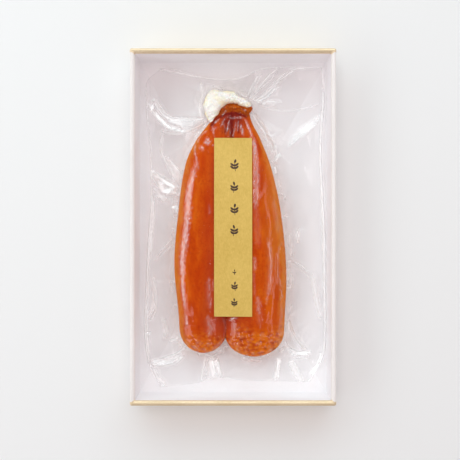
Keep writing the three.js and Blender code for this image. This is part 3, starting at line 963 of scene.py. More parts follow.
def colourRoe(pair):
    zone, strength = roeZones, roeStrengths
    place = np.empty(len(pair.data.vertices) * 3)
    pair.data.vertices.foreach_get("co", place)
    x, y, z = (place.reshape(-1, 3) / mm).T
    edges = []
    for lobe in lobes.values():
        middle, halfWidth, _, _ = lobeAt(lobe, np.clip(y, lobe["tip"] + 0.3, lobe["top"] - 0.3))
        edges.append(np.abs(x - middle) / np.maximum(halfWidth, 0.5))
    off = np.minimum(*edges) + 0.1 * wavyField(x, y, size=12.0, seed=31)
    off = off + 0.05 * wavyField(x, y, size=3.0, seed=32)

    # amber where the flesh is thin
    outerSide = np.maximum(np.abs(x - zone["middle"]) - zone["sideFrom"], 0) / zone["sideLength"]
    tipY = y + 4 * wavyField(x, y, size=13.0, seed=13) + 2 * wavyField(x, y, size=3.4, seed=14)
    tipGlow = 1 - ease(tipY, *zone["tipY"])
    shoulder = ease(y, *zone["shoulderY"])
    rim = ease(off, *zone["rim"]) * ease(outerSide + 0.5 * shoulder, *zone["side"])
    rightSide = ease(x + 3 * wavyField(x, y * 0.6, size=10.0, seed=15), *zone["rightX"])
    rightSide = rightSide * ease(y, *zone["rightY"]) * (1 - ease(y, *zone["rightTopY"]))
    tipRim = tipGlow * ease(off, *zone["tipRim"])
    rim = rim + strength["tip"] * tipGlow + strength["tipRim"] * tipRim + strength["rightSide"] * rightSide
    pointValue(pair, "rim", np.clip(rim, 0, 1) * strength["rim"])

    # redder beside the cleft, and dark at the neck
    along = np.clip((y - cleft["yAtTip"]) / (cleft["yAtNeck"] - cleft["yAtTip"]), 0, 1)
    fromCleft = np.abs(x - mixValues(cleft["xAtTip"], cleft["xAtNeck"], along))
    centre = 1 - ease(fromCleft + 3 * wavyField(x, y * 0.5, size=14.0, seed=17), *zone["cleftX"])
    centre = centre * ease(y, *zone["cleftY"]) * (1 - strength["cleftTop"] * ease(y, *zone["cleftTopY"]))
    pointValue(pair, "centre", centre)
    roll = ease(y + 0.35 * np.abs(x), *zone["rollY"])
    pointValue(pair, "roll", roll)
    neck = ease(y + 2 * wavyField(x, y, size=6.0, seed=41), *zone["neckY"])
    neck = neck * (1 - ease(fromCleft, *zone["neckX"]))
    pointValue(pair, "neck", neck * (1 - roll))
    veins = 1 - ease(np.abs(wavyField(x * 1.5, y * 0.3, size=6.0, seed=51)), *zone["veinGap"])
    veins = veins * ease(y, *zone["veinY"]) * (1 - ease(np.abs(x), *zone["veinX"])) * strength["veins"]
    # painted shade, with the skin's own darker colour, along the neck's folds and under the roll and crest
    foldDarkAndShade = np.zeros_like(x)
    for chain, reach in neckFolds:
        gap, _ = nearLine(x + 0.4 * wavyField(x, y, size=3.0, seed=18), y, chain)
        foldDarkAndShade = np.maximum(foldDarkAndShade, 1 - ease(np.abs(gap), 0.25 * reach, reach))

    # painted light on the eggs: lighter tops, and painted shade in the gaps between them; and a dull yellow
    # patch on the roll, its own colour
    fade, shape = pebbleShape(x, y)
    gaps = fade * ease(-shape, 0.0, 0.8) * strength["gaps"]
    # the veins attribute carries the veins' colour with painted shade in the folds and between the eggs
    dark = np.clip(veins + strength["neckFolds"] * foldDarkAndShade, 0, 1) * (1 - strength["roll"] * roll)
    pointValue(pair, "veins", dark + gaps)
    patchX, patchY, halfWidth, halfLength = zone["ochre"]
    ochre = 1 - ease(np.hypot((x - patchX) / halfWidth, (y - patchY) / halfLength), 0.5, 1.1)
    eggs = fade * (strength["eggSkin"] + strength["eggs"] * np.clip(shape, 0, 1))
    pointValue(pair, "litEggsAndOchre", np.maximum(eggs, strength["ochre"] * ochre * roll))


def makeRoe():
    pair = joinRoe(roeShader())
    colourRoe(pair)
    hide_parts("pack")
    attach(pair, "root")
    print("roe pair:", len(pair.data.polygons), "faces")


crestPlan = {
    # across the cap from its left wing to its right tip: lower lip x, y, upper edge x, y, half height
    "stations": [(-13.8, 67.4, -16.2, 69.6, 1.2), (-10.8, 71.6, -18.8, 76.0, 3.4),
                 (-8.0, 75.6, -18.4, 83.6, 4.8), (-5.2, 79.0, -13.8, 89.4, 5.6),
                 (-2.0, 80.4, -7.4, 88.4, 5.8), (1.0, 80.4, -0.4, 88.6, 5.6),
                 (4.0, 79.4, 3.6, 85.4, 5.0), (6.8, 78.0, 7.8, 83.8, 4.2),
                 (9.6, 77.6, 10.6, 81.4, 3.0), (11.6, 78.2, 12.2, 79.8, 1.4)],
    "middleHeight": 9.6,
    "rings": 150,
    "sides": 84,
    "acrossPower": 0.85,      # how square its section is
    "upPower": 0.8,
    "crumple": 1.15,
    "ragged": 0.75,
    "cell": 0.7,              # grid on which its height is looked up for the film
}


def makeCrest():
    p = crestPlan
    stations = [(i / (len(p["stations"]) - 1), *row) for i, row in enumerate(p["stations"])]
    t = np.linspace(0, 1, p["rings"])
    lowX, lowY, highX, highY, tall = [curveThrough(stations, t, k)[:, None] for k in range(1, 6)]
    angle = (np.arange(p["sides"]) / p["sides"] * 2 * math.pi)[None, :]
    across = np.sign(np.cos(angle)) * np.abs(np.cos(angle)) ** p["acrossPower"]
    up = np.sign(np.sin(angle)) * np.abs(np.sin(angle)) ** p["upPower"]
    x = (lowX + highX) / 2 + (highX - lowX) / 2 * across
    y = (lowY + highY) / 2 + (highY - lowY) / 2 * across
    # folds run from the lower lip to the upper edge, with finer crumples over them
    swung = t[:, None] * 26 + 0.9 * across
    folded = np.abs(wavyField(swung, 2.2 * across + 0 * t[:, None], size=4.6, seed=8))
    crumpled = np.abs(wavyField(x, y, size=3.4, seed=9)) + 0.5 * np.abs(wavyField(x, y, size=1.7, seed=10))
    push = p["crumple"] * (0.55 - 1.15 * folded - 0.8 * crumpled + 0.35 * wavyField(x, y, size=7.0, seed=11))
    z = p["middleHeight"] + tall * up + push * np.clip(up + 0.35, 0, 1)
    ragged = p["ragged"] * wavyField(t[:, None] * 40 + 0 * across, across, size=3.0, seed=12)
    ragged = ragged * np.abs(across) ** 6
    length = np.hypot(highX - lowX, highY - lowY)
    x = x + (highX - lowX) / length * ragged * np.sign(across)
    y = y + (highY - lowY) / length * ragged * np.sign(across)
    points = np.stack([x, y, np.maximum(z, restHeight)], axis=-1).reshape(-1, 3)
    ends = [points[:p["sides"]].mean(0), points[-p["sides"]:].mean(0)]
    crest = addPiece("roe_crest", np.vstack([points, ends]), closeTube(p["rings"], p["sides"]), crestShader())
    facesOut(crest)
    patchy = np.clip(0.6 + 0.9 * wavyField(x, y, size=5.0, seed=13), 0, 1)
    lip = np.append((np.abs(across) ** 1.6 * patchy).ravel(), [1, 1])
    pointValue(crest, "lip", lip)
    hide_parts("pack")
    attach(crest, "root")
    print("crest ready")
    return points


def crestTop(points, x, y):
    # height of the crest under the film, from its own points
    size = crestPlan["cell"]
    tops = {}
    for cx, cy, z in zip(*np.round(points[:, :2].T / size).astype(int), points[:, 2]):
        for key in ((cx, cy), (cx + 1, cy), (cx - 1, cy), (cx, cy + 1), (cx, cy - 1)):
            tops[key] = max(tops.get(key, -np.inf), z)
    height = np.full_like(x, -np.inf)
    low, high = points.min(0) - 2 * size, points.max(0) + 2 * size
    for row, column in np.argwhere((x > low[0]) & (x < high[0]) & (y > low[1]) & (y < high[1])):
        key = (round(x[row, column] / size), round(y[row, column] / size))
        height[row, column] = tops.get(key, -np.inf)
    return height


makeRoe()
crestPoints = makeCrest()

# the pouch: clear film drawn down over the roe, with a flat creased margin

filmEdges = {
    # along, across, for the two long edges; across, along, for the two short ones
    "left": [(-105.5, -48), (-100.5, -50.5), (-89, -55.5), (-66.5, -58), (-41.5, -57), (-8.5, -55.5),
             (19, -53.5), (51, -54.5), (83, -57), (97, -56.5), (104.5, -48.5)],
    "right": [(-105, 51), (-99, 54), (-91, 58), (-80, 60.6), (-41.5, 60.8), (-8.5, 60.5), (44, 58),
              (63.5, 58.5), (81, 59.8), (105.5, 58.5)],
    "top": [(-56, 104.6), (-48, 104.5), (-39.5, 104), (-31.5, 102), (-21.5, 99), (-8.5, 97.5), (-0.5, 97.5),
            (9.5, 100), (15, 103), (22, 105), (36.5, 105.5), (60, 105.5)],
    "bottom": [(-58, -105.3), (-48, -105.3), (-34, -104), (-21.5, -102), (-8, -99), (5, -101), (28, -101.5),
               (60, -102.5)],
}
film = {
    "columns": 228,
    "rows": 416,
    "baseColumns": 56,
    "baseRows": 104,
    "halfLength": 105.5,
    "usualLength": 207.0,     # turns a share along the sheet into millimetres
    "lift": 0.9,              # the flat sheet over the tray's floor, and how it curls up along the sides
    "sideCurl": 1.2,
    "curlReach": 7.0,
    "wave": 0.3,
    "overRoe": 0.1,
    "skirt": 3.0,             # how far it takes to drop from the roe
    "skirtSoft": 5,
    "crumple": 0.055,         # over the roe
    "foldSlope": 0.42,
    "foldBack": 8.0,          # how softly a fold's back falls away
    "foldClears": 0.85,       # how much of the net is smoothed away under the drawn folds
    "foldTall": 0.85,
    "foldWide": 1.8,
    "netFrom": (-66, -116),
    "netTo": (72, 118),
    "looseSpacing": 11.0,     # the loose points of the crease net
    "looseJitter": 0.42,
    "looseHeight": 1.7,
    "netScale": 1.15,
    "netSoft": 4,
    "sealGap": 0.12,          # between the two sheets at the seal, and inside it
    "sheetGap": 0.8,
    "sealFrom": 1.0,
    "sealTo": 9.0,
    "overTray": 0.06,
    "edgeHalf": 0.2,          # half the width of the cut edge, and what its long sides add
    "sideHalf": 0.4,
}
filmGlow = {
    # how milky and how glossy (shine) the film is at its marks, folds and streaks; its milk along folds,
    # streaks, glints and the cut edge is painted highlight
    "markVeil": 0.6,
    "markShine": 1.8,
    "markOverRoe": 0.15,
    "foldMilkAndHighlight": 0.85,
    "foldShine": 1.8,
    "flatShine": 0.3,
    "creaseShine": 0.6,
    "streakHighlight": 0.95,
    # painted light: a milky ring round the roe that lifts the roe's shadow on the film
    "paintedHalo": 0.5,              # milky ring round the roe
    "haloReach": 12.0,
    "skirtShine": 2.5,
    "roeShine": 0.42,
    "crestShine": 0.25,
    "crestFrom": 76.0,
    "calm": 0.95,             # less gloss over the neck of the pair
    "calmFrom": 26.0,
    "calmTo": 52.0,
    "glintShine": 0.6,
    "glintVeil": 0.27,
    "neckGlint": 0.3,
    "tipGlint": 0.45,
    "ragged": 0.5,
    "edgeHighlight": 0.87,
    "edgeShine": 0.5,
    "sideShine": 8.0,
    "baseShine": 0.1,
}
# where the margin is creased: chains of across, along, height above the flat sheet
creaseNet = [
    [(-56.5, 82.5, 2.6), (-53, 75.5, 2.8), (-46, 67.5, 3.0), (-39.5, 64, 3.2), (-31.5, 62.5, 3.4),
     (-26.5, 65.5, 3.2), (-18.5, 70, 3.4)],
    [(-18.5, 96, 0.6), (-21.5, 89, 1.6), (-20.5, 81, 1.2)],
    [(-40, 100, 0.2), (-41, 93.5, 0.1), (-37.5, 87.5, 0.1), (-31, 83, 0.2), (-24.5, 80.5, 0.4)],
    [(42, 104, 1.4), (31, 98, 2.2), (25.5, 91.5, 2.6), (20, 86, 2.6), (14, 81.5, 3.0)],
    [(30.5, 104.5, 1.0), (24.5, 99.5, 1.8), (19, 93.5, 2.1), (14.5, 88.5, 2.4), (12, 84.5, 2.6)],
    [(17, 97.5, 0.8), (14, 92.5, 1.5), (11, 86.5, 2.0)],
    [(16.5, 79, 0.3), (24.5, 77, 0.1), (34.5, 76, 0.1), (44, 78.5, 0.1), (51.5, 83.5, 0.4)],
    [(34.5, 53.5, 0.8), (40, 54.5, 2.4), (47.5, 60.5, 3.0), (56.5, 68, 2.6)],
    [(35.5, 57.5, 0.5), (41, 65, 0.5), (47.5, 69, 0.4), (56, 75, 0.8)],
    [(22.5, 62, 1.6), (25.5, 59, 1.9), (27.5, 53, 1.7), (26.5, 49.5, 1.4)],
    [(-54, -88.7, 2.4), (-48, -87.5, 2.4), (-37.5, -84.5, 2.6), (-32.5, -80, 2.6)],
    [(-53.5, -90.6, 0.6), (-48, -91.5, 0.4), (-41, -91.5, 0.4), (-36, -89.5, 0.6), (-32.5, -86, 1.0)],
    [(-53, -93.5, 1.4), (-50, -99.5, 1.8), (-46.5, -103.5, 1.8), (-42.5, -103.5, 1.4)],
    [(-19.5, -86, 1.6), (-20.5, -93, 1.9), (-21, -100.5, 2.1)],
    [(-16, -86, 0.6), (-14, -92, 0.5), (-11.5, -98, 0.4)],
    [(-12.5, -86, 1.8), (-10.5, -92, 2.1), (-8.6, -97.8, 2.1)],
    [(-7, -87, 0.3), (-5.4, -97.5, 0.3)],
    [(37, -58, 1.8), (38, -63.5, 2.2), (41, -70, 2.4), (44.5, -76.5, 2.2), (49, -80.5, 1.6)],
    [(35, -80, 2.6), (39.5, -82, 2.8), (45, -83.5, 2.8), (52, -83, 2.4)],
    [(38, -85.5, 0.5), (42, -86.5, 0.4), (48, -87, 0.4)],
    [(31.5, -86, 2.2), (28.5, -91, 2.0), (28, -98.5, 1.9)],
    [(34.6, -88, 0.4), (32.5, -99, 0.4)],
    [(37.5, -88.5, 1.6), (40.5, -95, 1.8), (43.5, -101, 1.6)],
    [(42, -89.5, 0.4), (47, -99.5, 0.3)],
    [(36, 32, 0.6), (43, 24, 1.7), (55, 16, 1.4)],
    [(38, -2, 0.6), (46, 2, 1.5), (52, 12, 1.2)],
    [(39, -22, 0.5), (47, -28, 1.5), (56, -40, 1.8)],
    [(-41, -8, 0.6), (-47, -3, 1.4), (-52, 6, 1.2)],
    [(3, 92, 1.0), (-1, 95.5, 1.3)],
]
# drawn lines where the sheet is pinched sharp over the roe: chain, height, width
pinches = [
    ([(-24.4, 53.5), (-24.7, 48.5), (-23.3, 43), (-22, 37.3)], 0.5, 0.5),
    ([(-17, 57), (-16.3, 54.5), (-14.4, 55.4)], 0.5, 0.9),
    ([(-21.4, 52), (-19.6, 50.2)], 0.5, 0.9),
    ([(8.2, 70), (10.3, 64), (12.5, 58)], 0.4, 0.6),
    ([(14.2, 55), (14.8, 40), (15.2, 28), (14.8, 14)], 0.4, 1.2),
    ([(29.0, -15.5), (28.6, -25), (29.2, -34), (31.0, -40)], 0.4, 0.5),
    ([(31.2, -46.4), (33.2, -42.8), (34.6, -45.6)], 0.5, 0.5),
    ([(23.5, -12), (24.4, -23), (23.4, -34), (22, -46)], 0.3, 1.2),
    ([(-15.4, -34), (-15.4, -44), (-14.8, -52)], 0.3, 1.3),
    ([(-15.4, -58), (-14.2, -65), (-15.6, -70)], 0.4, 1.8),
    ([(-2.7, -60.5), (-0.6, -58.7), (2.6, -58.6)], 0.6, 0.7),
    ([(16.2, -46), (16.7, -54), (17.6, -64)], 0.3, 1.3),
    ([(-30.2, -57), (-29.8, -60.5), (-29.2, -64)], 0.4, 1.2),
    ([(-14.4, -79.6), (-10.8, -79), (-8.0, -76.8)], 0.5, 0.6),
    ([(-27, -76.5), (-22, -78.8), (-17, -79.4)], 0.4, 0.6),
    ([(-24.5, -72.8), (-19, -75.6)], 0.4, 0.6),
]
# wider folds: chain, how far the gentle side reaches, to the left of the way the chain runs or to its
# right if negative, and strength
folds = [
    ([(-56.3, 81.7), (-52.7, 75.2), (-47.5, 69.3), (-42.7, 65.5), (-32.1, 62.5)], 3.0, 1.0),
    ([(-51.6, 82.5), (-52.7, 76.6)], -1.2, 0.9),
    ([(-51.2, 85.4), (-44.6, 75.9), (-40.2, 73.0), (-29.5, 72.3), (-17.7, 71.1)], -1.2, 0.8),
    ([(-46.5, 65.0), (-47.2, 60.6), (-47.9, 54.7), (-47.4, 48.9), (-46.1, 45.2)], 1.4, 0.8),
    ([(-46.1, 46.6), (-42.5, 40.8), (-38.8, 35.7), (-36.2, 30.6)], 4.2, 1.0),
    ([(-56.0, 37.2), (-53.4, 32.1), (-49.8, 27.0), (-46.8, 22.6), (-41.4, 21.4), (-35.2, 21.8)], 5.0, 1.0),
    ([(-56.0, 37.2), (-51.2, 34.6), (-45.4, 31.6), (-38.8, 27.7), (-35.9, 25.1)], -2.6, 0.9),
    ([(-54.0, 21.8), (-54.3, 14.5), (-54.1, 9.6), (-55.3, -1.9), (-55.5, -8.5)], 3.2, 1.0),
    ([(-55.4, -5.8), (-55.8, -18.3), (-55.3, -29.8), (-56.5, -43.0), (-57.8, -59.4)], 0.8, 0.8),
    ([(-52.5, -34.8), (-51.6, -47.1), (-52.0, -55.4), (-55.3, -62.7)], 2.4, 0.8),
    ([(-40.7, 13.2), (-37.4, 11.6), (-35.4, 9.3)], 2.6, 0.9),
    ([(-50.6, -21.6), (-39.7, -11.0)], 0.7, 0.5),
    ([(42.0, -1.6), (42.4, -5.8), (42.0, -10.4)], 2.0, 0.9),
    ([(-53.9, -90.7), (-44.6, -91.3), (-37.4, -89.7), (-32.1, -84.8)], 4.5, 0.6),
    ([(-10.4, -86.0), (-8.6, -92.6), (-7.2, -99.5)], -8.5, 0.55),
    ([(-55.3, -90.0), (-52.0, -98.9), (-47.1, -103.8), (-43.0, -104.7)], 4.0, 0.8),
    ([(-57.5, -69.3), (-53.7, -69.3)], -1.0, 0.9),
    ([(-41.0, -74.6), (-36.4, -73.8), (-35.2, -72.6)], -1.2, 1.0),
    ([(36.8, -61.1), (39.2, -67.7), (43.3, -75.1), (47.4, -79.6), (51.4, -81.8)], -2.2, 1.0),
    ([(35.1, -75.1), (36.3, -79.2), (41.7, -82.1), (51.6, -82.1)], -1.5, 0.9),
    ([(35.9, -83.3), (50.7, -84.1)], 1.0, 0.7),
    ([(31.6, -86.0), (31.0, -93.0), (30.2, -101.5)], -3.8, 0.55),
    ([(39.5, -87.0), (43.0, -95.0), (46.8, -102.5)], -5.0, 0.5),
    ([(61.0, -82.0), (58.0, -91.5), (51.0, -100.0)], -4.5, 0.5),
    ([(26.2, 43.2), (28.0, 46.8), (30.6, 49.6)], -2.4, 1.0),
    ([(21.4, 61.6), (24.4, 58.6), (26.7, 54.7), (26.7, 50.7), (25.9, 48.7)], -1.6, 1.0),
    ([(21.8, 59.3), (23.1, 56.6), (23.4, 53.3)], 0.8, 0.8),
    ([(13.1, 73.7), (16.7, 68.6), (21.1, 62.0), (21.8, 59.1)], 1.0, 0.9),
    ([(14.2, 75.0), (19.1, 68.1), (22.8, 60.9)], 0.8, 0.7),
    ([(27.7, 40.2), (28.3, 35.7)], 1.0, 0.8),
    ([(10.9, 84.0), (14.9, 90.9), (17.8, 98.6)], 0.8, 0.9),
    ([(11.6, 84.0), (18.2, 92.0), (25.5, 98.6), (30.6, 104.8)], -1.2, 1.0),
    ([(13.1, 82.5), (21.8, 87.6), (29.9, 95.6), (38.0, 102.2), (41.6, 104.4)], 1.0, 1.0),
    ([(15.3, 81.7), (21.8, 84.7), (27.0, 89.8), (32.1, 93.5)], 3.0, 0.9),
    ([(19.1, 81.0), (23.1, 82.6), (28.3, 82.9), (33.0, 81.6)], 2.8, 0.6),
    ([(59.8, 81.0), (57.7, 78.1), (59.1, 75.2), (58.7, 62.0), (59.1, 40.2), (59.1, 8.0), (59.8, -10.1),
      (60.6, -34.8), (61.4, -59.4), (61.8, -75.9), (60.6, -84.1)], -0.9, 0.8),
    ([(-6.8, -79.2), (-0.3, -78.4)], -1.0, 0.7),
    ([(6.6, -86.1), (12.6, -88.0), (19.1, -87.4)], -1.5, 0.7),
]
# painted glints over the roe, milk and extra gloss where the film should shine: chains of across, along and
# half width, and strength
paintedRoeGlints = [
    ([(-23.8, 39.7, 1.7), (-25.4, 33.3, 1.9), (-27.2, 27.5, 1.7), (-28.5, 21.1, 2.1),
      (-28.6, 12.8, 2.3), (-29.1, 5.1, 2.6), (-30.1, -3.2, 2), (-31, -10.2, 2.8),
      (-32.4, -19.2, 2.3), (-32.6, -27.5, 1.8), (-32.6, -35.2, 1.3), (-32.1, -43.5, 1.2),
      (-31.3, -49.3, 1.2), (-30.5, -53.1, 0.8)], 1),
    ([(-30.6, -56.9, 1), (-29.7, -60.5, 1.5), (-29.2, -64, 0.9)], 0.7),
    ([(-16.9, 62.4, 0.8), (-20.5, 60.2, 0.8), (-22.1, 57.6, 0.8), (-23.2, 54.4, 0.6)], 0.5),
    ([(-24.4, 53.5, 0.6), (-24.7, 48.7, 0.6), (-23.3, 42.9, 0.6), (-22, 37.1, 0.5)], 0.8),
    ([(-16.9, 57.3, 1.2), (-16, 55.4, 1.3)], 1),
    ([(-18.5, 55.1, 1), (-16.3, 53.8, 1.3), (-14.4, 55.4, 0.9)], 1),
    ([(-21.4, 51.9, 1.1), (-19.8, 50.9, 1.3), (-19.5, 49.3, 1)], 0.9),
    ([(-13.4, 52.5, 0.6), (-12.1, 53.1, 0.6)], 0.6),
    ([(-15.3, 14.7, 0.8), (-14.8, 8.3, 1)], 0.3),
    ([(-15.5, -32.6, 1), (-15.5, -41.6, 1.6)], 0.55),
    ([(-15.7, -41.6, 1.3), (-15, -46.7, 1.6), (-14.7, -52.5, 1.4)], 0.4),
    ([(-16.3, -56.9, 1), (-15, -62.1, 2), (-14.4, -65.9, 2.6), (-15.7, -70.4, 1.3)], 0.65),
    ([(-12.8, -78.1, 0.8), (-8.9, -76.1, 0.8), (-6.1, -72.3, 0.8), (-5.1, -67.2, 0.8),
      (-5.4, -61.4, 0.8)], 0.35),
    ([(-13.4, 65.9, 0.6), (-12.8, 62.1, 0.6), (-12.1, 58.3, 0.6)], 0.5),
    ([(-2.5, 67.2, 0.5), (-1.9, 62.1, 0.5), (-2.2, 58.3, 0.5)], 0.25),
    ([(-6.1, 67.2, 0.5), (-4.8, 63.4, 0.5), (-3.8, 59.5, 0.5)], 0.3),
    ([(1.9, 67.9, 0.6), (1, 62.7, 0.6), (0, 58.3, 0.6)], 0.35),
    ([(4.8, 66.6, 0.6), (5.5, 63.4, 1.2), (6.7, 59.5, 1)], 0.8),
    ([(8.3, 69.8, 0.6), (10.3, 64, 0.8), (12.5, 58.3, 1)], 1),
    ([(-3.8, 71.6, 0.6), (-0.6, 70.7, 0.7), (3.2, 71.2, 0.7), (7.1, 70.7, 0.6)], 0.5),
    ([(-9.1, 70, 0.6), (-11.8, 67.5, 0.8)], 0.9),
    ([(-5.1, 70.4, 0.5), (-6.8, 67.6, 0.6), (-8, 64.7, 0.5)], 0.7),
    ([(-2.3, 69.1, 0.4), (-3.2, 65.3, 0.6), (-3.8, 61.5, 0.4)], 0.8),
    ([(3.6, 69.1, 0.4), (3.2, 65.9, 0.6), (2.8, 62.1, 0.4)], 0.6),
    ([(-10.9, 64.7, 0.6), (-13, 62.1, 0.7)], 0.7),
    ([(6.8, 76.2, 0.6), (9.4, 75.3, 0.6)], 0.8),
    ([(-6.8, 72.6, 0.5), (-4.3, 75.9, 0.5)], 0.6),
    ([(13.5, 57.6, 1.3), (14.1, 49.3, 1.7), (14.7, 39.7, 2.2), (15.1, 31.4, 2.4),
      (14.9, 23.7, 2.2), (14.7, 16, 2), (14.7, 11.5, 1.3)], 0.95),
    ([(14.7, 13.5, 1.9), (15.4, 1.3, 2.9), (16, -12.1, 2.6)], 0.18),
    ([(25.9, 17.9, 1.3), (27.5, 7.7, 1.9), (29.1, -3.8, 1.5)], 0.25),
    ([(22.3, -8.3, 1), (24.1, -15.1, 1.3), (24.5, -23.3, 1.5), (23.6, -33.9, 1.3),
      (22.7, -42, 1.1), (21.5, -49.3, 0.8)], 0.6),
    ([(32, -10.2, 0.5), (29.7, -12.8, 0.5), (28.9, -17.9, 0.5), (28.8, -24.9, 0.5),
      (29.2, -32, 0.5), (30.7, -37.4, 0.6), (33, -39.3, 0.6)], 0.5),
    ([(30, -40, 0.6), (31.7, -41.9, 0.6), (31.4, -44.8, 0.6), (30.4, -47, 0.6)], 0.7),
    ([(32.3, -41.3, 0.5), (34.3, -42.5, 0.5), (33.9, -45.1, 0.5), (32.4, -44.8, 0.5),
      (32.3, -41.3, 0.5)], 0.7),
    ([(31.7, -49.9, 1.3), (31.1, -58.2, 1.7), (30.4, -65.9, 1.7), (28.5, -72.3, 1.7),
      (26.3, -76.1, 1.3)], 0.28),
    ([(13.7, -19.2, 0.9), (14.1, -23.7, 1.3), (14, -28.1, 1)], 0.7),
    ([(13.3, -28.8, 0.9), (14, -44.1, 0.9)], 0.25),
    ([(15.8, -44.8, 1.2), (16.4, -50.5, 1.8), (16.7, -56.3, 1.4)], 0.65),
    ([(16.5, -57.6, 0.8), (17.7, -65.3, 0.6)], 0.35),
    ([(-2.7, -60.5, 0.6), (-0.6, -58.7, 0.9), (2.6, -58.6, 0.8)], 1),
    ([(-6.7, -58.5, 0.8), (-5.4, -60.8, 1.2), (-4.5, -64, 0.9)], 0.3),
    ([(0.7, -60.8, 1), (1, -65.9, 1.5), (3.2, -70.4, 1.3)], 0.3),
]
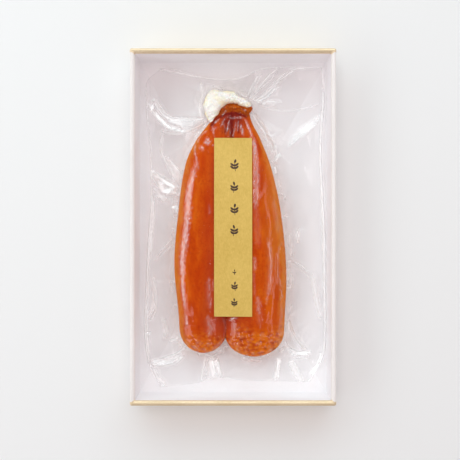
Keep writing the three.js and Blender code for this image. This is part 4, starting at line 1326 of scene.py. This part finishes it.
# painted highlights: where its folds over the margin are painted bright with milk
paintedMarginGlints = [
    ([(-53.9, 19.1, 0.9), (-54.5, -8.5, 0.8), (-55.2, -22.9, 0.7), (-55.8, -41.4, 0.7),
      (-56.8, -61.1, 0.8), (-56.5, -71.6, 0.8), (-54.8, -88, 0.8)], 0.9),
    ([(58.3, 77, 0.8), (58.6, 44.1, 0.9), (58.9, 17.8, 0.9), (59.6, -15.1, 0.9),
      (60.9, -47.9, 0.9), (61.6, -77.5, 0.9)], 0.9),
    ([(-47.3, 104, 0.6), (-38.1, 102.3, 0.6), (-28.2, 100.4, 0.6), (-18.3, 98.7, 0.6),
      (-7.2, 98.1, 0.6), (3.4, 98.1, 0.6), (9.3, 99.4, 0.5)], 1),
    ([(-21, 95.4, 1.1), (-19.7, 86.9, 1.3), (-21, 80.3, 1.3), (-19, 74.4, 1.2)], 0.55),
    ([(-18.3, 94.8, 1), (-8.5, 92.8, 1.1), (3.4, 94.1, 1)], 0.3),
    ([(9.3, 86.2, 0.5), (12.6, 92.8, 0.5), (16.5, 100, 0.5)], 0.9),
    ([(11.3, 85.6, 0.5), (14.5, 92.8, 0.5), (19.1, 100.7, 0.5)], 0.9),
    ([(12.6, 85.6, 0.6), (18.5, 93.5, 0.6), (24.4, 100.7, 0.6), (30.3, 105, 0.6)], 1),
    ([(11.9, 83.6, 0.9), (19.1, 86.2, 1.3), (25.1, 91.5, 1.4), (31, 98.1, 1.2), (36.2, 102, 0.9),
      (41.5, 104.6, 0.7), (49.4, 105.3, 0.6), (58.6, 105.6, 0.6)], 1),
    ([(16.5, 81.6, 1.3), (23.1, 81, 3), (28.3, 81.6, 2)], 0.4),
    ([(14.5, 81, 0.5), (24.4, 77.7, 0.5), (36.2, 76.7, 0.5), (48.1, 78.3, 0.5), (57.3, 81.6, 0.5)], 0.35),
    ([(-55.2, 82.3, 1), (-53.2, 77, 1), (-48.6, 71.1, 1.1), (-44, 65.8, 1.2), (-38.1, 63.5, 1.2),
      (-30.2, 62.9, 1.2), (-22.3, 66.5, 1.1), (-16.4, 70.4, 0.9)], 1),
    ([(-52.5, 82.9, 0.8), (-49.2, 77.7, 0.8), (-45.3, 73.1, 0.9), (-40, 70.8, 1.3),
      (-28.2, 71.1, 1.2), (-17.7, 71.4, 1.1)], 0.9),
    ([(-44, 69.8, 1.6), (-34.8, 67.5, 3), (-24.9, 68.5, 2.3)], 0.5),
    ([(-46.6, 62.5, 0.9), (-38.1, 61.2, 1.1), (-30.2, 62.2, 0.8)], 0.6),
    ([(-46.9, 61.2, 0.8), (-47.9, 55.3, 0.7), (-47.3, 49.4, 0.7), (-44.6, 44.1, 0.9),
      (-40.7, 37.6, 2.1), (-37.1, 29.7, 1.3)], 0.85),
    ([(11.9, 75.7, 0.5), (16.5, 69.8, 0.5), (20.5, 63.2, 0.6), (23.1, 57.9, 0.5)], 0.85),
    ([(14.2, 75, 0.5), (19.1, 69.1, 0.5), (23.7, 61.2, 0.5), (27, 55.3, 0.5), (29, 49.4, 0.5)], 0.8),
    ([(22.4, 58.6, 0.5), (25.1, 55.3, 0.6), (26, 50.7, 0.5)], 0.6),
    ([(28.3, 51.4, 0.9), (29, 48.7, 1.2), (28.3, 46.1, 0.8)], 0.9),
    ([(-55.2, 38.2, 0.9), (-50.6, 34.3, 2.1), (-44, 30.3, 2.8), (-36.1, 26.4, 2)], 0.8),
    ([(-52.5, 26.4, 1), (-47.9, 21.8, 3), (-44, 17.2, 3)], 0.7),
    ([(-42.7, 23.1, 1.3), (-35.4, 21.1, 2)], 0.6),
    ([(-38.1, 14.5, 1.3), (-36.8, 11.3, 1.7), (-36.4, 8.6, 1.1)], 0.9),
    ([(-52.5, 18.5, 0.9), (-52.5, 8, 1.4), (-53.5, -5.2, 1.1), (-54.2, -18.3, 0.8)], 0.85),
    ([(-39.4, -5.8, 0.5), (-45.3, -13.1, 0.5), (-51.2, -21.6, 0.5)], 0.5),
    ([(-52.2, -33.5, 0.7), (-51.9, -44.6, 1.1), (-53.2, -53.2, 1.1), (-56.5, -61.1, 0.8)], 0.7),
    ([(-46, -59.8, 2.6), (-44, -67.7, 3.3), (-45.3, -74.2, 2)], 0.35),
    ([(-41.4, -74.6, 0.6), (-38.1, -73.9, 0.8), (-34.8, -71.9, 0.6)], 1),
    ([(-53.9, -88.7, 0.7), (-44.6, -86.1, 0.7), (-37.4, -83.8, 0.9), (-30.8, -78.8, 0.8)], 1),
    ([(-53.2, -89.4, 0.7), (-47.9, -88.7, 1.4), (-40, -87.1, 2), (-33.5, -83.1, 1.6)], 0.75),
    ([(-53.9, -90.3, 0.6), (-44.6, -91.3, 0.6), (-37.4, -89.7, 0.6), (-32.1, -84.8, 0.6)], 0.9),
    ([(-52.5, -92.6, 1.1), (-49.9, -99.2, 1.8), (-44.6, -103.2, 1.6)], 0.7),
    ([(-14.4, -87.4, 3), (-14.4, -94, 4.3), (-14.1, -99.2, 5.3)], 0.6),
    ([(-10.4, -86.1, 0.8), (-8.8, -92.6, 0.9), (-7.5, -98.6, 0.9)], 1),
    ([(-18, -86.7, 0.8), (-19.7, -94, 0.8), (-21, -101.9, 0.8)], 0.85),
    ([(-21, -102.2, 0.8), (-14.4, -100.5, 0.9), (-7.8, -98.9, 0.8)], 1),
    ([(-18.3, -83.8, 0.7), (-13.7, -85.4, 0.7), (-9.8, -83.1, 0.7)], 0.8),
    ([(-14.1, -86.7, 0.6), (-11.4, -96.6, 0.6)], 0.9),
    ([(30.7, -86.1, 0.9), (29.3, -92.6, 1.4), (28, -100.5, 2)], 0.7),
    ([(36.9, -61.1, 0.6), (39.2, -68.3, 0.7), (42.8, -74.2, 0.7), (46.8, -79.2, 0.5)], 1),
    ([(35.3, -77.5, 0.7), (38.9, -81.1, 0.9), (44.1, -82.8, 0.9), (51.4, -82.5, 0.7)], 0.95),
    ([(36.2, -80.2, 0.7), (40.2, -85.1, 0.7), (45.4, -86.7, 0.7), (50.7, -85.1, 0.6)], 0.7),
    ([(39.5, -82.5, 1.3), (49.4, -84.1, 1.6)], 0.45),
    ([(38.2, -88.7, 2.3), (41.5, -95.3, 3), (45.4, -101.9, 2.3)], 0.7),
    ([(61.9, -80.8, 1.4), (59.3, -90, 2.2), (54.7, -97.9, 2.2), (50.1, -102.5, 1.7)], 0.65),
    ([(43.8, -0.6, 0.7), (42.2, -5.2, 1.1), (43.1, -10.4, 0.7)], 0.75),
    ([(36.9, -21.6, 0.6), (42.8, -23.6, 0.7), (49.4, -28.9, 0.7)], 0.45),
    ([(36.9, -23.6, 0.6), (44.1, -27.5, 0.7), (50.7, -33.5, 0.7)], 0.3),
    ([(52, -30.2, 1.6), (54, -41.4, 2.3), (56, -51.2, 2.3), (57.9, -61.1, 1.6)], 0.45),
    ([(36.2, 52.7, 1.3), (41.5, 58.6, 3), (49.4, 65.8, 3.3), (57.3, 73.1, 2.3)], 0.35),
]


def nearChain(x, y, chain, reach):
    # True at the places in a box that reaches this far round the chain
    low, high = chain.min(0) - reach, chain.max(0) + reach
    return (x > low[0]) & (x < high[0]) & (y > low[1]) & (y < high[1])


def addPinch(heights, marks, x, y, chain, height, width):
    # a sharp ridge that fades at both ends
    chain = np.asarray(chain, dtype=float)
    near = nearChain(x, y, chain, 5 * width)
    if not near.any():
        return
    gap, along = nearLine(x[near], y[near], chain)
    strength = ease(along, 0, 0.12) * (1 - ease(along, 0.85, 1.0))
    heights[near] += height * strength * np.exp(-np.abs(gap / width) ** 1.4)
    mark = strength * np.exp(-(gap / (0.8 * width)) ** 2) * min(height, 1.0)
    marks[near] = np.maximum(marks[near], mark)


def addFold(heights, shine, haze, x, y, chain, soft, strength):
    # a crisp line with one gentle side, which is made to lean back or left, towards the light
    chain = np.asarray(chain, dtype=float)
    reach = abs(soft)
    near = nearChain(x, y, chain, reach + 18)
    gap, along = nearLine(x[near], y[near], chain)
    across = gap * np.sign(soft)
    taper = ease(along, 0, 0.08) * (1 - ease(along, 0.86, 1.0))
    t = across / (reach * (0.5 + 0.5 * taper))
    gentle = np.clip(1 - t, 0, 1) ** 1.3
    wayX, wayY = (chain[-1] - chain[0]) * np.sign(soft)
    if wayX + wayY > 0:
        # the line is its top, and the gentle side runs down from it
        shape = np.where(t > 0, gentle, np.exp(-(across / 0.8) ** 2))
    else:
        # the line is its foot, and past the gentle side its back falls away slowly
        back = np.exp(-((t - 1) * reach / film["foldBack"]) ** 2)
        shape = np.where(t > 1, back, np.where(t > 0, 1 - gentle, 0))
    heights[near] += film["foldSlope"] * reach * taper * shape
    # painted highlight: milk (haze) along the gentle side and the crisp line; shine only adds gloss
    glow = strength * taper * np.where(t > 0, np.clip(1 - t, 0, 1) ** 0.6, np.exp(-(across / 0.3) ** 2))
    shine[near] = np.maximum(shine[near], glow)
    line = 0.5 * strength * taper * np.exp(-(gap / 0.45) ** 2)
    haze[near] = np.maximum(haze[near], np.maximum(0.6 * glow, line))


def streakField(x, y, streaks, ragged):
    # how strongly drawn soft streaks of varying width cover each place, 0 to 1
    glow = np.zeros_like(x)
    for chain, strength in streaks:
        chain = np.asarray(chain, dtype=float)
        line, halves = chain[:, :2], chain[:, 2]
        near = nearChain(x, y, line, 1.5 * halves.max() + 1)
        gap, along = nearLine(x[near], y[near], line)
        walked = np.append(0, np.cumsum(np.hypot(*np.diff(line, axis=0).T)))
        half = np.interp(along, walked / walked[-1], halves)
        gap = np.abs(gap) + ragged * half * wavyField(x[near], y[near], size=2.5, seed=45)
        fade = 1 - ease(gap, 0.1 * half, 1.25 * half + 0.1)
        ends = ease(along, -0.02, 0.08) * (1 - ease(along, 0.9, 1.02))
        glow[near] = np.maximum(glow[near], strength * fade * (0.25 + 0.75 * ends))
    return glow


def paintedTipGlints(x, y):
    # painted glints: short curled marks of milk and gloss in patches, where the film clings to the pebbly
    # tips
    fade, _ = pebbleShape(x, y)
    curls = 1 - ease(np.abs(wavyField(x, y * 1.3, size=3.4, seed=48)), 0.04, 0.3)
    patches = ease(wavyField(x, y, size=5.0, seed=49), 0.0, 0.3)
    return filmGlow["tipGlint"] * fade * curls * patches


def creasedSheet(x, y):
    # flat facets between the creases: a triangulated net of their points and loose ones between
    draw = np.random.default_rng(64)
    points, heights, edges = [], [], []
    for chain in creaseNet:
        for k, (px, py, pz) in enumerate(chain):
            if k:
                edges.append((len(points) - 1, len(points)))
            points.append((px, py))
            heights.append(pz)
    fixed = np.array(points)
    step, jitter = film["looseSpacing"], film["looseJitter"]
    columns, rows = [np.arange(low, high, step) for low, high in zip(film["netFrom"], film["netTo"])]
    for gx in columns:
        for gy in rows:
            spot = np.array([gx, gy]) + draw.uniform(-jitter, jitter, 2) * step
            if np.hypot(*(fixed - spot).T).min() > step * jitter:
                points.append(tuple(spot))
                heights.append(draw.uniform(0, 1) ** 1.5 * film["looseHeight"])
    net = delaunay_2d_cdt([Vector(p) for p in points], edges, [], 0, 1e-4)
    spots = np.array([tuple(v) for v in net[0]])
    levels = []
    for spot, sources in zip(spots, net[3]):
        gaps = np.hypot(*(np.array(points) - spot).T)
        levels.append(heights[sources[0]] if sources else heights[int(gaps.argmin())])
    levels = np.array(levels)
    sheet = np.zeros_like(x)
    for corners in net[2]:
        (ax, ay), (bx, by), (cx, cy) = triangle = spots[list(corners)]
        low, high = triangle.min(0), triangle.max(0)
        near = (x >= low[0]) & (x <= high[0]) & (y >= low[1]) & (y <= high[1])
        if not near.any():
            continue
        area = (bx - ax) * (cy - ay) - (cx - ax) * (by - ay)
        px, py = x[near], y[near]
        wb = ((px - ax) * (cy - ay) - (cx - ax) * (py - ay)) / area
        wc = ((bx - ax) * (py - ay) - (px - ax) * (by - ay)) / area
        inside = (wb >= -1e-6) & (wc >= -1e-6) & (wb + wc <= 1 + 1e-6)
        a, b, c = levels[list(corners)]
        sheet[near] = np.where(inside, (1 - wb - wc) * a + wb * b + wc * c, sheet[near])
    return sheet


def filmGrid(columns, rows):
    # places of the sheet's points, its edges drawn by filmEdges, and how far each is from an edge
    u, v = np.meshgrid(np.linspace(0, 1, columns + 1), np.linspace(0, 1, rows + 1))
    y = mixValues(-film["halfLength"], film["halfLength"], v)
    left = curveThrough(filmEdges["left"], y, 1)
    right = curveThrough(filmEdges["right"], y, 1)
    x = mixValues(left, right, u)
    y = mixValues(curveThrough(filmEdges["bottom"], x, 1), curveThrough(filmEdges["top"], x, 1), v)
    toSide = np.minimum(x - left, right - x)
    toEnd = np.minimum(v, 1 - v) * film["usualLength"]
    return u, v, x, y, toSide, toEnd


def flatSheet(x, y, toSide):
    p = film
    curl = p["sideCurl"] * (1 - ease(toSide, 0, p["curlReach"])) ** 1.4
    return trayPlan["floor"] + p["lift"] + curl + p["wave"] * wavyField(x, y, size=34.0, seed=61)


def roundBlur(z, passes):
    for _ in range(passes):
        soft = z.copy()
        soft[1:-1, 1:-1] = (z[:-2, 1:-1] + z[2:, 1:-1] + z[1:-1, :-2] + z[1:-1, 2:] + 4 * z[1:-1, 1:-1]) / 8
        z = soft
    return z


def roeOutline():
    # points round the roe and crest as seen from above, at the height where each is widest
    crestStep = 40
    tipsBelow = -60.0         # below here the two tips stand apart, each with an inner side of its own
    places = [crestPoints[::crestStep]]
    for lobe in lobes.values():
        y = np.linspace(lobe["tip"] + 0.05, lobe["top"] - 2, 150)
        middle, halfWidth, _, waist = lobeAt(lobe, y)
        side = np.sign(middle)
        places += [np.column_stack([middle + side * halfWidth, y, waist])]
        places += [np.column_stack([middle - side * halfWidth, y, waist])[y < tipsBelow]]
    return np.vstack(places)


def outlineGap(x, y):
    # distance from the roe's outline, and the height of the outline's nearest point
    away = np.full_like(x, np.inf)
    rim = np.zeros_like(x)
    for px, py, pz in roeOutline():
        gap = np.hypot(x - px, y - py)
        rim = np.where(gap < away, pz, rim)
        away = np.minimum(away, gap)
    return away, rim


# short pleats that run outwards from the roe's sides
pucker = {"count": 26, "length": (3.0, 8.0), "height": (0.2, 0.5), "width": (0.5, 0.9),
          "spread": 0.4, "start": 0.8}


def addPuckers(heights, marks, x, y):
    p = pucker
    draw = np.random.default_rng(72)
    for _ in range(p["count"]):
        lobe = lobes["left" if draw.random() < 0.5 else "right"]
        along = draw.uniform(lobe["tip"] + 0.5, lobe["top"] - 6)
        here, there = lobeAt(lobe, np.array([along])), lobeAt(lobe, np.array([along + 1.0]))
        side = np.sign(here[0][0])
        start = np.array([here[0][0] + side * here[1][0], along])
        slope = np.array([there[0][0] + side * there[1][0], along + 1.0]) - start
        outward = np.array([slope[1], -slope[0]]) * side
        outward = outward / np.hypot(*outward)
        turn = draw.normal(0, p["spread"])
        way = np.array([outward[0] * math.cos(turn) - outward[1] * math.sin(turn),
                        outward[0] * math.sin(turn) + outward[1] * math.cos(turn)])
        length = draw.uniform(*p["length"]) * draw.uniform(0.4, 1.0)
        chain = np.array([start - way * p["start"], start + way * length])
        addPinch(heights, marks, x, y, chain, draw.uniform(*p["height"]), draw.uniform(*p["width"]))


def drapeFilm():
    # the upper sheet's places, and what its haze and gloss are worked out from
    p = film
    u, v, x, y, toSide, _ = filmGrid(p["columns"], p["rows"])
    roe = pairTop(x, y)
    content = np.maximum(np.maximum(roe, rollTop(x, y)), crestTop(crestPoints, x, y))
    covered = np.isfinite(content)
    fromOutline, rim = outlineGap(x, y)
    away = np.where(covered, 0.0, fromOutline)

    # the margin: a flat sheet with a net of creases, drawn folds and puckers
    marks, shine, haze, drawn, folded = [np.zeros_like(x) for _ in range(5)]
    for chain, soft, strength in folds:
        addFold(drawn, shine, haze, x, y, chain, soft, strength)
    creased = roundBlur(creasedSheet(x, y), p["netSoft"]) * (1 - p["foldClears"] * ease(shine, 0, 0.25))
    netShare = p["netScale"] * ease(away, 0, 2.5) * (0.4 + 0.6 * ease(toSide, 0, 5))
    margin = flatSheet(x, y, toSide) + creased * netShare + drawn
    addPuckers(margin, marks, x, y)

    # the sheet leaves the roe where it is widest and drops to the tray in a short skirt
    reach = p["skirt"] * np.clip(1 + 0.6 * wavyField(x, y, size=15.0, seed=47), 0.7, 1.6)
    skirt = margin + np.maximum(rim - margin, 0) * (1 - ease(away, 0, reach)) ** 1.5
    z = np.where(covered, np.maximum(margin, content + p["overRoe"]), skirt)
    z = mixValues(z, roundBlur(z, p["skirtSoft"]), (1 - ease(away, 3.0, 6.0)) * (away > 0.4))
    z = z + np.where(np.isfinite(roe), roeRelief(x, y), 0.0)

    # pinches and fine crumples over the roe, none under the paper strip
    calm = clearOfStrip(x, y)
    for chain, height, width in pinches:
        addPinch(folded, marks, x, y, chain, p["foldTall"] * height, p["foldWide"] * width)
    fine = wavyField(x * 1.8, y * 0.5, size=5.0, seed=91) + wavyField(x, y, size=2.0, seed=92)
    fine = fine + wavyField(x * 0.5, y, size=1.6, seed=93)
    rough = 0.4 + 0.6 * ease(wavyField(x, y, size=16.0, seed=94), -0.2, 0.5)
    z = z + np.where(covered, (folded + p["crumple"] * fine * rough) * calm, folded)
    return {"u": u, "v": v, "x": x, "y": y, "z": z, "covered": covered, "away": away,
            "fromOutline": fromOutline, "marks": marks, "shine": shine, "haze": haze, "creased": creased}


def lightFilm(sheet):
    # how milky each place of the film is, and how many layers of gloss it has; the milk carries painted
    # highlights, and painted light round the roe
    p = filmGlow
    x, y, away, marks, covered = [sheet[key] for key in ("x", "y", "away", "marks", "covered")]
    mottled = np.clip(0.8 + 0.8 * wavyField(x, y * 0.8, size=2.4, seed=46), 0.3, 1.15)
    glint = np.maximum(streakField(x, y, paintedRoeGlints, p["ragged"]) * mottled, paintedTipGlints(x, y))
    paintedMarginGlow = streakField(x, y, paintedMarginGlints, 0.35 * p["ragged"])

    # painted light: a milky ring round the roe lifts the roe's shadow on the film
    near = (1 - ease(away, 0, p["haloReach"])) * (0.65 + 0.5 * wavyField(x, y, size=9.0, seed=44))
    near = near * (0.5 + 0.5 * ease(away, 0.5, 4))
    milkAndPaintedGlow = np.clip(p["markVeil"] * marks + p["foldMilkAndHighlight"] * sheet["haze"] + p["paintedHalo"] * near, 0, 1)
    milkAndPaintedGlow = np.maximum(milkAndPaintedGlow, p["streakHighlight"] * paintedMarginGlow)
    neckGlint = 1 + p["neckGlint"] * ease(y, 44, 52)
    roeVeil = np.maximum(p["markOverRoe"] * marks, p["glintVeil"] * glint * neckGlint)

    calm = 1 - p["calm"] * ease(y, p["calmFrom"], p["calmTo"])
    inside = 0.3 + 0.7 * ease(sheet["fromOutline"], 0.4, 3.5)
    roeLayers = p["roeShine"] * calm * inside + 0.5 * marks + p["glintShine"] * glint
    roeLayers = np.where(y > p["crestFrom"], p["crestShine"], roeLayers)
    layers = p["flatShine"] + p["creaseShine"] * ease(sheet["creased"], 0.5, 1.9) * ease(away, 0, 3)
    layers = layers + p["markShine"] * marks + p["foldShine"] * sheet["shine"]
    layers = layers + p["skirtShine"] * (1 - ease(away, 0.8, 3.0)) * mottled
    return np.where(covered, roeVeil, milkAndPaintedGlow), np.where(covered, roeLayers, layers)


def gridPoints(x, y, z):
    return np.stack([x, y, z], axis=-1).reshape(-1, 3)


def makeFilm():
    p = film
    sheet = drapeFilm()
    x, y, z = sheet["x"], sheet["y"], sheet["z"]
    clear = filmShader("film_clear", gloss=1.8, haze=0.9, rough=0.06)
    top = addPiece("film_top", gridPoints(x, y, z), gridFaces(p["columns"], p["rows"]), clear)
    gridUvs(top, sheet["u"], sheet["v"])
    milkAndPaintedGlow, layers = lightFilm(sheet)
    pointValue(top, "milkAndPaintedGlow", milkAndPaintedGlow)
    pointValue(top, "layers", layers)
    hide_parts("pack")
    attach(top, "root")

    # the sheet under the roe, sealed to the first one round the edge
    u, v, bx, by, toSide, toEnd = filmGrid(p["baseColumns"], p["baseRows"])
    inward = ease(np.minimum(toSide, toEnd), p["sealFrom"], p["sealTo"])
    low = flatSheet(bx, by, toSide) - mixValues(p["sealGap"], p["sheetGap"], inward)
    low = np.maximum(low, trayPlan["floor"] + p["overTray"])
    base = addPiece("film_base", gridPoints(bx, by, low), gridFaces(p["baseColumns"], p["baseRows"]), clear)
    gridUvs(base, u, v)
    pointValue(base, "layers", np.full(low.size, filmGlow["baseShine"]))
    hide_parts("pack")
    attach(base, "root")
    makeFilmEdge(x, y, z)
    print("film:", len(top.data.polygons), "faces")


# where the cut edge is wide and where it is painted bright, with painted shade at the upper left: pairs in
# millimetres from none to full, or back
edgeZones = {
    "middle": 1.5,            # x halfway between the long edges
    "sideX": (50, 54),
    # at the upper left it is narrower and painted darker, as painted shade
    "leftX": (30, 40),        # less of it shows at the upper left
    "leftY": (18, 32),
    "leftShare": 0.65,
    "wideY": (86, 98),        # it is wider along the sides, up to here
    "tipY": (-94, -84),
    "neckY": (86, 94),
    "topX": (-50, -38),
    "topY": (90, 96),
    "least": 0.08,
    "leastShine": 0.2,
}


def edgeSides(x, y):
    # 1 along the two long edges, less at the upper left, 0 elsewhere
    zone = edgeZones
    upperLeft = ease(-x, *zone["leftX"]) * ease(y, *zone["leftY"])
    return ease(np.abs(x - zone["middle"]), *zone["sideX"]) * (1 - zone["leftShare"] * upperLeft)


def makeFilmEdge(x, y, z):
    # the cut edge of the pouch, a thin strip all the way round
    loop = np.vstack([np.stack([g[0, :-1] for g in (x, y, z)], axis=1),
                      np.stack([g[:-1, -1] for g in (x, y, z)], axis=1),
                      np.stack([g[-1, :0:-1] for g in (x, y, z)], axis=1),
                      np.stack([g[:0:-1, 0] for g in (x, y, z)], axis=1)])
    along = np.roll(loop, -1, axis=0) - np.roll(loop, 1, axis=0)
    out = np.stack([along[:, 1], -along[:, 0], 0 * along[:, 0]], axis=1)
    out /= np.hypot(out[:, 0], out[:, 1])[:, None]
    zone = edgeZones
    sides = edgeSides(loop[:, 0], loop[:, 1]) * (1 - ease(np.abs(loop[:, 1]), *zone["wideY"]))
    half = (film["edgeHalf"] + film["sideHalf"] * sides)[:, None]
    # its section: how far out and up each corner is in half widths, and how far the inner ends are apart
    corners = [(-1.6, 0, 0.05), (-0.2, 0.55, 0), (1.0, 0, 0), (0.2, -0.4, 0), (-1.6, 0, -0.05)]
    lift = np.array([0, 0, 1.0])
    rings = [loop + out * half * outward + lift * (half * up + apart) for outward, up, apart in corners]
    points = np.stack(rings, axis=1).reshape(-1, 3)
    count, sideCount = len(loop), len(corners)
    faces = []
    for i in range(count):
        here, there = i * sideCount, (i + 1) % count * sideCount
        for j in range(sideCount):
            k = (j + 1) % sideCount
            faces.append((here + j, here + k, there + k, there + j))
    sealed = filmShader("film_sealed_edge", gloss=0.6, haze=0.62, rough=0.2)
    edge = addPiece("film_edge", points, faces, sealed)
    facesOut(edge)
    px, py = points.T[:2]
    # painted highlight: its milk and gloss are raised where the edge is meant to look bright, and lowered in
    # the painted shade at the upper left
    atSides = edgeSides(px, py) * ease(py, *zone["tipY"]) * (1 - ease(py, *zone["neckY"]))
    paintedBright = np.maximum(atSides, ease(py, *zone["topY"]) * ease(px, *zone["topX"]))
    # the slope that leans in over the film is the one that catches the light
    leaningIn = atSides * np.tile([1.0, 0.3, 0.0, 0.0, 0.0], count)
    p = filmGlow
    pointValue(edge, "milkAndPaintedGlow", zone["least"] + p["edgeHighlight"] * paintedBright)
    pointValue(edge, "layers", zone["leastShine"] + p["edgeShine"] * paintedBright + p["sideShine"] * leaningIn)
    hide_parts("pack")
    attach(edge, "root")


makeFilm()

# the paper strip, bent over the lobes and straight across them

def makeStrip():
    p = strip
    u, v = np.meshgrid(np.linspace(0, 1, p["columns"] + 1), np.linspace(0, 1, p["rows"] + 1))
    x = p["centreX"] + p["width"] * (u - 0.5)
    y = p["centreY"] + p["length"] * (v - 0.5)
    low = stripHeight(x, y)
    layer = x.size
    points = np.vstack([np.stack([x, y, low], axis=-1).reshape(-1, 3),
                        np.stack([x, y, low + p["thickness"]], axis=-1).reshape(-1, 3)])
    faces = [tuple(f[::-1]) for f in gridFaces(p["columns"], p["rows"])]
    faces += [tuple(f + layer) for f in gridFaces(p["columns"], p["rows"])]
    wide = p["columns"] + 1
    for i in range(p["columns"]):
        a, b = i, p["rows"] * wide + i
        faces.append((a, a + 1, a + 1 + layer, a + layer))
        faces.append((b + 1, b, b + layer, b + 1 + layer))
    for j in range(p["rows"]):
        a, b = j * wide, j * wide + p["columns"]
        faces.append((a + wide, a, a + layer, a + wide + layer))
        faces.append((b, b + wide, b + wide + layer, b + layer))
    piece = addPiece("label_paper_strip", points, faces, plainShader("label_paper"))
    piece.data.set_sharp_from_angle(angle=math.radians(p["sharp"]))
    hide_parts("label_strip")
    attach(piece, "root")


# brush-drawn sprigs down the strip: where along it, size, lean
sprigs = [(39.6, 7.4, 0.2), (25.4, 7.0, -0.15), (11.2, 7.2, 0.1), (-2.4, 7.0, -0.2),
          (-29.0, 3.4, 0.1), (-38.0, 5.8, 0.2), (-48.6, 5.6, -0.1)]
brush = {"raise": 0.03, "steps": 10, "stem": 0.5, "leaf": 0.19, "offCentre": 0.9, "thinnest": 0.25,
         "swell": 0.7}


def brushStroke(points, faces, start, middle, end, width):
    # a curved stroke that swells and tapers, as a ribbon lying on the strip
    count = brush["steps"]
    t = np.linspace(0, 1, count + 1)[:, None]
    start, middle, end = map(np.array, (start, middle, end))
    line = (1 - t) ** 2 * start + 2 * t * (1 - t) * middle + t ** 2 * end
    way = np.gradient(line, axis=0)
    way /= np.hypot(way[:, 0], way[:, 1])[:, None]
    swell = np.sin(math.pi * np.clip(t * 0.9 + 0.08, 0, 1)) ** brush["swell"]
    half = width / 2 * (brush["thinnest"] + (1 - brush["thinnest"]) * swell)
    side = np.stack([-way[:, 1], way[:, 0]], axis=1) * half
    first = len(points)
    for a, b in zip(line + side, line - side):
        points += [a, b]
    for k in range(count):
        a = first + 2 * k
        faces.append((a, a + 1, a + 3, a + 2))


def makeSprigs():
    # each has a stem, leaves in pairs and a leaf on top
    points, faces = [], []
    for along, size, lean in sprigs:
        centre = np.array([brush["offCentre"], along])

        def spot(across, up):
            return centre + size / 2 * np.array([across + lean * up * up, up])

        leaf = brush["leaf"] * size
        brushStroke(points, faces, spot(0, -1), spot(0, -0.3), spot(0, 0.5), brush["stem"])
        brushStroke(points, faces, spot(0, 0.42), spot(0.06, 0.75), spot(0, 1.05), leaf)
        for level in (-0.5, -0.02) if size > 4 else (-0.2,):
            for side in (-1, 1):
                brushStroke(points, faces, spot(0, level), spot(0.4 * side, level + 0.04),
                            spot(0.68 * side, level + 0.42), leaf)
    flat = np.array(points)
    z = stripHeight(flat[:, 0], flat[:, 1]) + strip["thickness"] + brush["raise"]
    ink = plainShader("brush_ink")
    marks = addPiece("strip_sprigs", np.column_stack([flat, z]), faces, ink, smooth=False)
    for face in marks.data.polygons:
        if face.normal.z < 0:
            face.flip()
    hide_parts("label_strip")
    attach(marks, "root")


makeStrip()
makeSprigs()
print("strip ready")
